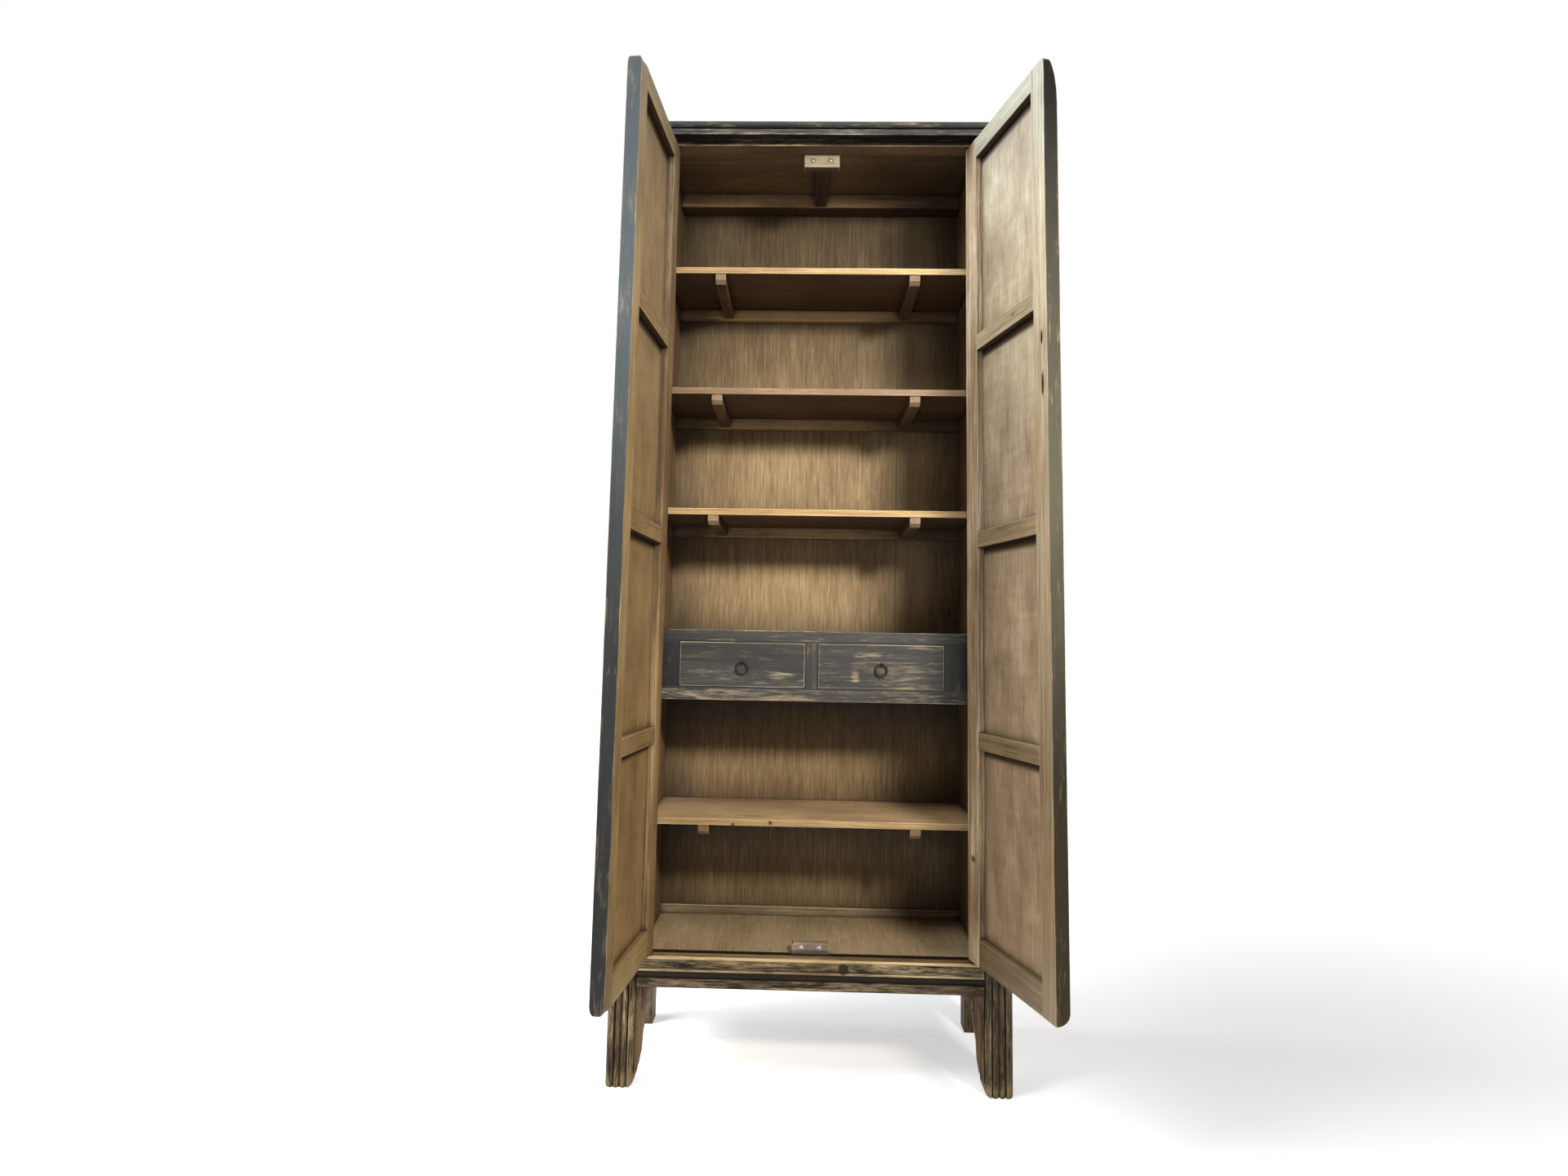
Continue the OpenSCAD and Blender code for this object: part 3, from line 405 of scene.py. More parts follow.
# painted shade: a dark line in the gap round each drawer's front
drawerGap = {"half": 0.0018, "soft": 0.0008, "dark": 0.85}  # the dark line round a drawer's front
drawerFronts = [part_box("drawer_front_" + side) for side in ("left", "right")]
gapHalf = drawerGap["half"]
gapLevels = [("Z", drawerFronts[0][0].z - gapHalf), ("Z", drawerFronts[0][1].z + gapHalf)]
gapSides = [("X", low.x - gapHalf) for low, high in drawerFronts]
gapSides += [("X", high.x + gapHalf) for low, high in drawerFronts]

# Dark lacquer over wood. coat is its three shades, wood and pale the middle and lightest colour of the wood.
# bare is how much is rubbed through, edge and spread how strongly and widely at the edges, soft how softly a
# bare patch ends, veil and thin where thin paint starts to show the wood and how much. Below the height low
# it is rubbed by rubLow more. zones are bands: axis, from, to, soft width, how much more. gaps are the dark
# lines of painted shade in the gaps round the drawers, fade the painted light and painted reflection up a
# door's rim, gloss and reach as for bare wood.
paintUsual = {"pale": "c8b48c", "spread": 0.0035, "soft": 0.035, "veil": 0.4, "low": None, "rubLow": 0.05,
              "zones": (), "gaps": (), "fade": (), "gloss": 0.35, "reach": 0.012}
coats = {
    "charcoal": ("0d0d0c", "1e1d1c", "343330"),
    "brown": ("0b0805", "1b140c", "362b1c"),
    "olive": ("12110c", "26241b", "403c2f"),
    "slate": ("121211", "232220", "393834"),
    "dark": ("0b0b0a", "171615", "262523"),
}
postFeet = [("Z", -0.01, 0.28, 0.1, 0.045), ("Z", -0.02, 0.02, 0.02, 0.06)]  # wear towards the floor
paints = {
    # postLeft and postRight are copies of one post paint; the right one's paler wood is painted light, for that
    # post gets less lamp light
    "postLeft": {"coat": "brown", "bare": 0.381, "edge": 0.45, "thin": 0.5, "wood": "755f43", "low": 0.24,
                 "rubLow": 0.055, "gloss": 0.12, "pale": "b8a27a", "soft": 0.03, "zones": postFeet},
    "postRight": {"coat": "olive", "bare": 0.368, "edge": 0.45, "thin": 0.45, "wood": "877051", "low": 0.24,
                  "rubLow": 0.055, "gloss": 0.15, "pale": "bda680", "soft": 0.03, "zones": postFeet},
    "postBack": {"coat": "brown", "bare": 0.405, "edge": 0.5, "thin": 0.6, "wood": "75624a", "low": 0.34,
                 "rubLow": 0.08, "gloss": 0.15, "pale": "a8906a", "soft": 0.07},
    "cap": {"coat": "charcoal", "bare": 0.405, "edge": 0.15, "thin": 0.35, "wood": "8b8069", "gloss": 0.2,
            "zones": [("Z", capLow - 0.001, capLow + 0.0026, 0.0012, 0.06),
                      ("Z", capLow + 0.0055, capLow + 0.03, 0.002, -0.01)]},
    "capUnder": {"coat": "dark", "bare": 0.36, "edge": 0.1, "thin": 0.4, "wood": "6f6048", "gloss": 0.1,
                 "zones": [("Y", -0.024, -0.01, 0.003, 0.08)]},
    "railFront": {"coat": "charcoal", "bare": 0.44, "edge": 0.25, "thin": 0.6, "wood": "75664c",
                  "gloss": 0.15, "zones": [("Z", headLow - 0.001, headLow + 0.0017, 0.0012, 0.09)]},
    "case": {"coat": "slate", "bare": 0.375, "edge": 0.5, "thin": 0.3, "wood": "8a7f6b", "reach": 0.03,
             "spread": 0.0015, "soft": 0.05, "gaps": gapLevels},
    "caseStile": {"coat": "slate", "bare": 0.375, "edge": 0.3, "thin": 0.3, "wood": "8a7f6b", "reach": 0.03,
                  "spread": 0.0015, "soft": 0.05, "gaps": gapSides},
    # painted shade: the case's end stiles take a darker copy of its lacquer
    "caseEndShade": {"coat": "dark", "bare": 0.36, "edge": 0.3, "thin": 0.3, "wood": "7f7461", "reach": 0.04,
                "gaps": gapSides},
    "drawerLeft": {"coat": "slate", "bare": 0.364, "edge": 1.2, "thin": 0.4, "wood": "857c6a",
                   "pale": "c4b796", "spread": 0.0012, "soft": 0.045, "veil": 0.38},
    "drawerRight": {"coat": "slate", "bare": 0.37, "edge": 1.2, "thin": 0.55, "wood": "877a62",
                    "pale": "c4b28a", "spread": 0.0012, "soft": 0.045, "veil": 0.355},
    "caseFoot": {"coat": "slate", "bare": 0.402, "edge": 0.4, "thin": 0.7, "wood": "8b7d67", "pale": "b9ab8d",
                 "spread": 0.0015, "soft": 0.08, "veil": 0.35, "gaps": gapLevels},
    "sill": {"coat": "brown", "bare": 0.479, "edge": 0.25, "thin": 0.45, "wood": "8d7856", "gloss": 0.15,
             "zones": [("Z", sillLow - 0.001, sillLow + 0.0048, 0.001, 0.09)]},
    "sillBead": {"coat": "brown", "bare": 0.6, "edge": 0.3, "thin": 0.9, "wood": "c9ae80", "gloss": 0.2},
    "sillTop": {"coat": "brown", "bare": 0.5, "edge": 0.3, "thin": 0.8, "wood": "7d674a", "gloss": 0.15,
                "zones": [("Y", 0.0125, 0.03, 0.003, -0.2), ("Y", -0.02, 0.008, 0.002, 0.06)]},
    "apron": {"coat": "brown", "bare": 0.474, "edge": 0.2, "thin": 0.6, "wood": "7c6b53", "gloss": 0.15,
              "zones": [("Z", bandTop + 0.001, sillLow + 0.002, 0.0015, -0.16)]},
    "foot": {"coat": "brown", "bare": 0.472, "edge": 0.3, "thin": 0.75, "wood": "6b543c", "low": 0.2,
             "gloss": 0.15, "pale": "8f7656", "soft": 0.09},
    # the door rims' fade is painted light and painted reflection
    "doorLeft": {"coat": "charcoal", "bare": 0.375, "edge": 0.55, "thin": 0.35, "wood": "84765f",
                 "pale": "a8987c", "soft": 0.06, "gloss": 0.28,
                 "fade": ["0c0a07", "161512", "2a2c2b", "434a4d", "31383b"]},
    "doorRight": {"coat": "charcoal", "bare": 0.365, "edge": 0.6, "thin": 0.35, "wood": "9a8468",
                  "low": 0.36, "rubLow": 0.1, "pale": "ae9c7e", "soft": 0.06, "gloss": 0.08,
                  "fade": ["443925", "302b20", "504e3e", "3b382d", "080706"]},
    "side": {"coat": "charcoal", "bare": 0.395, "edge": 0.4, "thin": 0.5, "wood": "7d6c52",
             "pale": "a39070", "soft": 0.06},
    "doorFace": {"coat": "charcoal", "bare": 0.385, "edge": 0.4, "thin": 0.5, "wood": "7d6c52",
                 "pale": "a39070", "soft": 0.07, "gloss": 0.25},
}


# Painted light and painted reflection up a door's rim: its shades from the foot to the top
def rimLightAndReflection(tree, paint, codes, clouds):
    low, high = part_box("door_free_stile_left")
    share = swayed(tree, evenRange(tree, coordinate(tree, "Z"), low.z, high.z), clouds, 0.3, clamp=True)
    faded = colourRamp(tree, share, [(k / (len(codes) - 1), tone(code)) for k, code in enumerate(codes)])
    return blendColours(tree, 0.75, paint, faded)


# How far the paint is rubbed at each point: patches, flecks, scratches, edges, and the look's own places
def rubbedAmount(tree, place, look, clouds, spots):
    patches = drawnOut(tree, place, 7.0, 45.0, 6.0, 0.7, 0.4)
    flecks = drawnOut(tree, place, 30.0, 220.0, 4.0, 0.65)
    scratches = drawnOut(tree, place, 12.0, 520.0, 4.0, 0.65)
    rub = calc(tree, "MULTIPLY_ADD", patches, 0.52, look["bare"] - 0.5)
    rub = calc(tree, "MULTIPLY_ADD", flecks, 0.28, rub)
    rub = calc(tree, "MULTIPLY_ADD", scratches, 0.2, rub)
    rub = calc(tree, "MULTIPLY_ADD", edgeMask(tree, look["spread"]), 0.3 * look["edge"], rub)
    if look["low"]:
        foot = smoothRange(tree, coordinate(tree, "Z"), look["low"], look["low"] - 0.12)
        rub = calc(tree, "MULTIPLY_ADD", foot, look["rubLow"], rub)
    for axis, low, high, soft, amount in look["zones"]:
        at = swayed(tree, coordinate(tree, axis), clouds, soft * 3.0)
        rub = calc(tree, "MULTIPLY_ADD", between(tree, at, low, high, soft), amount, rub)
    for centre, size, strength in spots:
        rub = calc(tree, "MULTIPLY_ADD", spotAt(tree, centre, size, flecks), strength, rub)
    return rub


# spots are places rubbed bare: where, half sizes, strength
def wornLacquer(name, lookName, turn, spots=()):
    seed = next(seeds)
    look = {**paintUsual, **paints[lookName]}
    material, tree, shader = newMaterial(name)
    place = grainPlace(tree, turn, (seed * 0.93, seed * 1.61, seed * 0.57))
    under = {"dark": "4a3a26", "mid": look["wood"], "light": look["pale"], "streak": 0.6, "run": 6.0}
    wood, value, streaks = woodColour(tree, place, {**woodUsual, **under})
    clouds = drawnOut(tree, place, 2.5, 9.0, 5.0, 0.6)
    shade = calc(tree, "MULTIPLY_ADD", streaks, 0.4, calc(tree, "MULTIPLY", clouds, 0.6))
    deep, usual, dusty = [tone(code) for code in coats[look["coat"]]]
    paint = colourRamp(tree, shade, [(0.32, deep), (0.5, usual), (0.68, dusty)])
    # painted light and painted reflection up a door's rim
    if look["fade"]:
        paint = rimLightAndReflection(tree, paint, look["fade"], clouds)
    rub = rubbedAmount(tree, place, look, clouds, spots)
    wornThrough = 0.495
    gone = smoothRange(tree, rub, wornThrough, wornThrough + look["soft"])
    thin = calc(tree, "MULTIPLY", smoothRange(tree, rub, look["veil"], 0.51), look["thin"])
    colour = blendColours(tree, calc(tree, "MAXIMUM", gone, thin), paint, wood)
    # painted shade in the gaps round the drawers
    for axis, at in look["gaps"]:
        line = between(tree, coordinate(tree, axis), at - gapHalf, at + gapHalf, drawerGap["soft"])
        colour = blendColours(tree, calc(tree, "MULTIPLY", line, drawerGap["dark"]), colour, tone("0b0907"))
    # painted shade, with some soiling, in the lacquer's corners and joints
    colour = shadeAndSoilInCorners(tree, colour, look["reach"], 0.75)
    rough = calc(tree, "MULTIPLY_ADD", gone, 0.22, calc(tree, "MULTIPLY_ADD", clouds, 0.2, 0.4))
    height = calc(tree, "MULTIPLY_ADD", gone, -0.6, calc(tree, "MULTIPLY", value, 0.5))
    finishShader(tree, shader, colour, rough, look["gloss"], height, 0.5)
    return material


def ironMaterial(name):
    material, tree, shader = newMaterial(name)
    rust = noiseAt(tree, grainPlace(tree, alongX, (0.3, 0.1, 0.7)), 260.0, 4.0, 0.6)
    colour = colourRamp(tree, rust, [(0.35, tone("191614")), (0.55, tone("2b2521")), (0.72, tone("4a372a"))])
    shader.inputs["Metallic"].default_value = 0.7
    rough = calc(tree, "MULTIPLY_ADD", rust, 0.4, 0.35)
    finishShader(tree, shader, colour, rough, 0.5, rust, 0.4, 0.0004)
    return material


def steelMaterial(name):
    material, tree, shader = newMaterial(name)
    dull = noiseAt(tree, grainPlace(tree, alongX, (0.1, 0.6, 0.2)), 420.0, 3.0, 0.6)
    colour = colourRamp(tree, dull, [(0.3, tone("9a9384")), (0.55, tone("c4bdae")), (0.8, tone("f2eee4"))])
    shader.inputs["Metallic"].default_value = 0.65
    tree.links.new(colour, shader.inputs["Base Color"])
    tree.links.new(calc(tree, "MULTIPLY_ADD", dull, 0.25, 0.12), shader.inputs["Roughness"])
    return material


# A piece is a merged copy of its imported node, with its edges rounded by hand wear
edgeWear = {"merge": 1e-5, "flat": 0.5, "sharp": 35.0, "shortest": 0.01, "segments": 2}


def softened(nodeName, width, reshape=None):
    mesh = nodes[nodeName].data.copy()
    mesh.materials.clear()
    bm = bmesh.new()
    bm.from_mesh(mesh)
    bmesh.ops.remove_doubles(bm, verts=bm.verts, dist=edgeWear["merge"])
    bmesh.ops.dissolve_limit(bm, angle_limit=math.radians(edgeWear["flat"]), verts=bm.verts, edges=bm.edges)
    rubbed = bm.faces.layers.float.new("rubbed")
    sharpest = math.radians(edgeWear["sharp"])
    sharp = [edge for edge in bm.edges if edge.is_manifold and edge.calc_length() > edgeWear["shortest"]
             and edge.calc_face_angle() > sharpest]
    made = bmesh.ops.bevel(bm, geom=sharp, offset=width, offset_type="OFFSET", segments=edgeWear["segments"],
                           profile=0.5, affect="EDGES", clamp_overlap=True)
    for face in made["faces"]:
        face[rubbed] = 1.0
    if reshape:
        reshape(bm)
    bm.to_mesh(mesh)
    bm.free()
    mesh.shade_smooth()
    mesh.set_sharp_from_angle(angle=sharpest)
    piece = addObject(nodeName + "_worn", mesh)
    level = piece.modifiers.new("flat faces stay flat", "WEIGHTED_NORMAL")
    level.keep_sharp = True
    return piece


# chooser gives a face's material from its middle and its normal
def finishPiece(nodeName, materials, chooser=None, width=0.0012, reshape=None):
    piece = softened(nodeName, width, reshape)
    for material in materials:
        piece.data.materials.append(material)
    if chooser:
        for polygon in piece.data.polygons:
            polygon.material_index = chooser(polygon.center, polygon.normal)
    standFor(piece, nodeName)


def painted(nodeName, look, turn, width=0.0015):
    finishPiece(nodeName, [wornLacquer(nodeName + "_lacquer", look, turn)], width=width)


def wooden(nodeName, look, turn, width=0.0012):
    finishPiece(nodeName, [bareWood(nodeName + "_wood", look, turn)], width=width)


# Choosers: the second material goes on the faces that look one way, or lie below a height
down = Vector((0.0, 0.0, -1.0))
forwards = Vector((0.0, -1.0, 0.0))
backwards = Vector((0.0, 1.0, 0.0))


def looking(way, least=0.5):
    return lambda middle, normal: int(normal.dot(way) > least)


def lying(level):
    return lambda middle, normal: int(middle.z < level)


# The sill: a bead along its top edge, and one patch of its face where the paint has held
sillWear = {"bead": 0.0068, "flat": 0.95, "held": [((0.071, -0.0145, 0.2585), (0.009, 0.02, 0.011), -0.3)]}
# painted shade on the top panel's underside
topShade = [((0.33, 0.12, 2.07), (0.26, 0.5, 0.1), 0.6)]  # the top panel is darker at the right


def sillFace(middle, normal):
    if normal.z > sillWear["flat"]:
        return 1
    return 2 * int(middle.z > sillHigh - sillWear["bead"])


def dressFrame():
    for side in ("left", "right"):
        painted("front_post_" + side, "post" + side.capitalize(), alongZ, 0.002)
        painted("back_post_" + side, "postBack", alongZ, 0.002)
        painted("side_rails_" + side, "side", alongY)
        painted("side_panel_" + side, "side", alongZ)
        painted("cap_" + side, "cap", alongY)
    painted("side_aprons", "side", alongY)
    face = wornLacquer("cap_front_lacquer", "cap", alongX)
    under = wornLacquer("cap_front_under", "capUnder", alongX)
    finishPiece("cap_front", [face, under], looking(down, 0.7), 0.0015)
    painted("cap_back", "cap", alongX)
    above = bareWood("top_panel_wood", "inner", alongX)
    # the underside carries the painted shade
    below = bareWood("top_panel_under", "inner", alongX, topShade)
    finishPiece("top_panel", [above, below], looking(down))
    band = wornLacquer("sill_lacquer", "sill", alongX, sillWear["held"])
    flat = wornLacquer("sill_top", "sillTop", alongX)
    bead = wornLacquer("sill_bead", "sillBead", alongX)
    finishPiece("sill", [band, flat, bead], sillFace, 0.001)
    under = bareWood("head_rail_wood", "headUnder", alongX)
    front = wornLacquer("head_rail_front", "railFront", alongX)
    finishPiece("head_rail", [under, front], looking(forwards), 0.001)
    painted("front_apron", "apron", alongX)
    painted("leg_brackets", "foot", alongZ)
    wooden("back_rails", "inner", alongX)
    print("frame dressed")


# Dark streaks and knots of the lowest shelf: where, half sizes, strength
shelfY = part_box("shelf_4")[0].y
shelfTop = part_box("shelf_4")[1].z
shelfMarks = [
    ((-0.135, 0.085, shelfTop), (0.03, 0.006, 0.01), 0.6),
    ((0.01, 0.083, shelfTop), (0.03, 0.004, 0.01), 0.6),
    ((0.174, 0.056, shelfTop), (0.03, 0.004, 0.01), 0.6),
    ((0.26, 0.1, shelfTop), (0.06, 0.005, 0.01), 0.4),
    ((-0.092, shelfY, 0.55), (0.005, 0.006, 0.005), 0.9),
    ((-0.175, shelfY, 0.545), (0.004, 0.006, 0.004), 0.9),
]

# Painted shade on wood far from the light, and the heights below which the battens and the cleat are duller
insideShades = {
    "ceiling": [((0.36, 0.25, 2.0), (0.27, 0.3, 0.2), 0.8)],
    "cleats": [((-0.33, 0.28, 1.2), (0.08, 0.3, 3.0), 0.7), ((0.31, 0.28, 1.2), (0.16, 0.3, 3.0), 0.8)],
    "lowBattens": 0.6, "lowCleat": 0.4,
}


# A shelf's top, its front edge, and its underside, which takes a darker copy of the wood as painted shade
def shelfFace(middle, normal):
    if normal.z < -0.7:
        return 2
    return int(normal.y < -0.5)


# A batten's sides take a darker copy of its wood than its front ends, as painted shade; front ends below
# lowBattens take battenDull
def battenFace(middle, normal):
    if normal.y > -0.5:
        return 0
    return 1 + int(middle.z < insideShades["lowBattens"])


def dressInside():
    inside = bareWood("back_panel_wood", "back", alongZ)
    outside = bareWood("back_panel_outside", "backOutside", alongZ)
    finishPiece("back_panel", [inside, outside], looking(backwards))
    wooden("floor_board", "floor", alongY)
    for side in ("left", "right"):
        wooden("inner_wall_" + side, "inner", alongZ)
    wooden("ceiling_batten", "ceiling", alongY)
    # the ceiling rail: painted shade towards the right on both faces, and a darker copy of its wood for the
    # underside as painted shade
    front = bareWood("ceiling_rail_front", "ceilingRail", alongX, insideShades["ceiling"])
    under = bareWood("ceiling_rail_under", "ceilingUnderShade", alongX, insideShades["ceiling"])
    finishPiece("ceiling_back_rail", [front, under], looking(down, 0.6))
    # the upper block's underside is a darker copy of its wood, as painted shade
    face = bareWood("upper_block_face", "block", alongX)
    under = bareWood("upper_block_under", "blockUnderShade", alongX)
    finishPiece("upper_catch_block", [face, under], looking(down, 0.6))
    wooden("lower_catch_block", "lowBlock", alongX)
    ends = bareWood("batten_end", "battenEnd", alongY)
    sides = bareWood("batten_side", "batten", alongY)
    dull = bareWood("batten_low_end", "battenDull", alongY)
    finishPiece("shelf_battens", [sides, ends, dull], battenFace)
    # painted shade at the cleats' ends; the top cleat is lighter by height, as painted light
    cleats = bareWood("back_cleats_wood", "cleat", alongX, insideShades["cleats"])
    lowest = bareWood("floor_cleat_wood", "floorCleat", alongX)
    finishPiece("back_cleats", [cleats, lowest], lying(insideShades["lowCleat"]))
    for number in range(1, 5):
        name = "shelf_%d" % number
        marks = shelfMarks if number == 4 else ()
        top = bareWood(name + "_wood", "shelf", alongX, marks)
        edge = bareWood(name + "_edge", "shelfDull" if number == 2 else "shelfEdge", alongX, marks)
        under = bareWood(name + "_under", "shelfUnderShade", alongX)
        finishPiece(name, [top, edge, under], shelfFace)
    finishPiece("catches", [steelMaterial("catch_steel")], width=0.0004)
    print("inside dressed")


# A forged ring: a thick wire follows a circle, slightly uneven, with so many dents a metre
ringPull = {"radius": 0.01295, "wire": 0.00185, "uneven": 0.00035, "steps": 40, "sides": 14, "seed": 5.0,
            "dents": 160.0}


def ringTree(material):
    tree = bpy.data.node_groups.new("forged ring", "GeometryNodeTree")
    labels = {"Ring Radius": "radius", "Wire Radius": "wire", "Uneven": "uneven", "Seed": "seed"}
    sockets = {}
    for label, key in labels.items():
        socket = tree.interface.new_socket(name=label, in_out="INPUT", socket_type="NodeSocketFloat")
        sockets[socket.identifier] = ringPull[key]
    tree.interface.new_socket(name="Geometry", in_out="OUTPUT", socket_type="NodeSocketGeometry")
    given = tree.nodes.new("NodeGroupInput").outputs

    def make(kind, inputs=None):
        return placeNode(tree, "GeometryNode" + kind, inputs).outputs[0]

    circle = make("CurvePrimitiveCircle", {"Resolution": ringPull["steps"], "Radius": given["Ring Radius"]})
    profile = make("CurvePrimitiveCircle", {"Resolution": ringPull["sides"], "Radius": given["Wire Radius"]})
    sweep = make("CurveToMesh", {"Curve": circle, "Profile Curve": profile})
    places = {"Vector": make("InputPosition"), "W": given["Seed"], "Scale": ringPull["dents"]}
    hammered = addNode(tree, "TexNoise", places, noise_dimensions="4D").outputs["Fac"]
    depth = calc(tree, "MULTIPLY", calc(tree, "MULTIPLY", hammered, given["Uneven"]), -1.0)
    inwards = {0: make("InputNormal"), "Scale": depth}
    dents = addNode(tree, "VectorMath", inwards, operation="SCALE").outputs[0]
    shaped = make("SetPosition", {"Geometry": sweep, "Offset": dents})
    whole = make("RealizeInstances", {"Geometry": shaped})
    finished = make("SetMaterial", {"Geometry": whole, "Material": material})
    placeNode(tree, "NodeGroupOutput", {0: finished})
    return tree, sockets


# The ring's tree lies flat round the origin, so its mesh is turned upright and moved to its eye
def forgeRing(side, tree, sockets):
    nodeName = "ring_pull_" + side
    low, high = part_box(nodeName)
    holder = addObject("ring", bpy.data.meshes.new("ring"))
    modifier = holder.modifiers.new("forged ring", "NODES")
    modifier.node_group = tree
    for identifier, value in sockets.items():
        modifier[identifier] = value
    evaluated = holder.evaluated_get(bpy.context.evaluated_depsgraph_get())
    mesh = bpy.data.meshes.new_from_object(evaluated)
    bpy.data.objects.remove(holder)
    mesh.transform(Matrix.Translation((low + high) / 2) @ Matrix.Rotation(math.pi / 2, 4, "X"))
    mesh.shade_smooth()
    standFor(addObject(nodeName + "_forged", mesh), nodeName)


# Places where the drawers are rubbed bare: where, half sizes, strength
drawerY = drawerFronts[0][0].y
drawerSpots = {
    "left": [((-0.078, drawerY, 0.8765), (0.03, 0.02, 0.008), 0.1),
             ((-0.22, drawerY, 0.888), (0.06, 0.02, 0.02), 0.03),
             ((-0.28, drawerY, 0.872), (0.015, 0.02, 0.006), 0.06)],
    "right": [((0.0917, drawerY, 0.8765), (0.009, 0.02, 0.015), 0.14),
              ((0.124, drawerY, 0.924), (0.03, 0.02, 0.008), 0.1),
              ((0.215, drawerY, 0.88), (0.06, 0.02, 0.03), 0.035)],
}
caseEnds = 0.305  # the case's end stiles lie farther from the middle than this


def dressDrawers():
    rails = wornLacquer("case_rails_lacquer", "case", alongX)
    lower = wornLacquer("case_low_rail", "caseFoot", alongX)
    caseLow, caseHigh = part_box("case_rails")
    finishPiece("case_rails", [rails, lower], lying((caseLow.z + caseHigh.z) / 2), 0.001)
    stile = wornLacquer("case_stile_lacquer", "caseStile", alongZ)
    # the end stiles take the darker copy of the lacquer, as painted shade
    last = wornLacquer("case_end_lacquer", "caseEndShade", alongZ)
    finishPiece("case_stiles", [stile, last], lambda middle, normal: int(abs(middle.x) > caseEnds), 0.0008)
    wooden("case_top_board", "shelf", alongX)
    wooden("case_bottom_board", "shelf", alongX)
    wooden("drawer_guides", "inner", alongY)
    iron = ironMaterial("ring_iron")
    tree, sockets = ringTree(iron)
    for side in ("left", "right"):
        front = "drawer_front_" + side
        coat = wornLacquer(front + "_lacquer", "drawer" + side.capitalize(), alongX, drawerSpots[side])
        finishPiece(front, [coat], width=0.0017)
        wooden("drawer_sides_" + side, "shelf", alongY)
        wooden("drawer_back_" + side, "shelf", alongX)
        wooden("drawer_bottom_" + side, "shelf", alongX)
        finishPiece("ring_eye_" + side, [iron], width=0.0002)
        forgeRing(side, tree, sockets)
    print("drawers dressed")


# What turns a point of the open door back to where it is when the door is closed
def doorFrame(side):
    swing = doorSwing(side)
    pivot = Vector(swing["pos_m"])
    turn = Matrix.Rotation(math.radians(swing["range_deg"][0]), 4, Vector(swing["axis"]))
    return Matrix.Translation(pivot) @ turn @ Matrix.Translation(-pivot)


# Free corners of the doors, rounded by handling: reach down and across, face that stays, least thickness
doorWear = {
    "left": {"top": 0.02, "bottom": 0.016, "across": 0.045, "stays": 0.5, "least": 0.35},
    "right": {"top": 0.085, "bottom": 0.02, "across": 0.055, "stays": 1.0, "least": 0.2},
}
doorCuts = {"top": 8, "bottom": 4, "across": 5}  # how many cuts each corner's curve has
# Slots and knots of the right door: where, half sizes, strength
doorMarks = {
    "door_free_stile_right": [((0.4087, -0.3118, 1.5275), (0.012, 0.0045, 0.013), 0.9),
                              ((0.4108, -0.3161, 1.439), (0.012, 0.005, 0.018), 0.9),
                              ((0.4058, -0.3185, 1.985), (0.012, 0.003, 0.03), 0.35)],
    "door_hinge_stile_right": [((0.3428, -0.0263, 0.4989), (0.008, 0.0085, 0.006), 0.85)],
    "door_rails_right": [((0.3796, -0.2065, 1.6087), (0.02, 0.006, 0.005), 0.75)],
}


# Cuts the free stile near its ends and thins it there, in the place where the door is closed
def roundCorners(bm, closing, side, low, high, meeting):
    wear = doorWear[side]
    opening = closing.inverted()
    sign = -1.0 if side == "left" else 1.0
    top, bottom, across = doorCuts["top"], doorCuts["bottom"], doorCuts["across"]
    levels = [high - wear["top"] * k * k / top ** 2 for k in range(1, top + 1)]
    levels += [low + wear["bottom"] * k * k / bottom ** 2 for k in range(1, bottom + 1)]
    cuts = [((0.0, 0.0, z), (0.0, 0.0, 1.0)) for z in levels]
    for k in range(1, across + 1):
        cuts.append(((sign * (meeting + wear["across"] * k / across), 0.0, 1.0), (1.0, 0.0, 0.0)))
    for place, normal in cuts:
        bmesh.ops.bisect_plane(
            bm, geom=bm.verts[:] + bm.edges[:] + bm.faces[:], dist=1e-6,
            plane_co=opening @ Vector(place), plane_no=opening.to_3x3() @ Vector(normal))
    depths = [(closing @ v.co).y for v in bm.verts]
    outer, inner = min(depths), max(depths)
    still = outer + wear["stays"] * (inner - outer)
    for vertex in bm.verts:
        place = closing @ vertex.co
        inwards = (abs(place.x) - meeting) / wear["across"]
        away, reach = min((high - place.z, wear["top"]), (place.z - low, wear["bottom"]))
        if away < reach and inwards < 1.0:
            share = max(0.0, min(1.0, away / reach))
            full = wear["least"] + (1.0 - wear["least"]) * math.sqrt(1.0 - (1.0 - share) ** 2)
            near = 1.0 - inwards * inwards * (3.0 - 2.0 * inwards) if inwards > 0.0 else 1.0
            place.y = still + (place.y - still) * (1.0 - (1.0 - full) * near)
            vertex.co = opening @ place


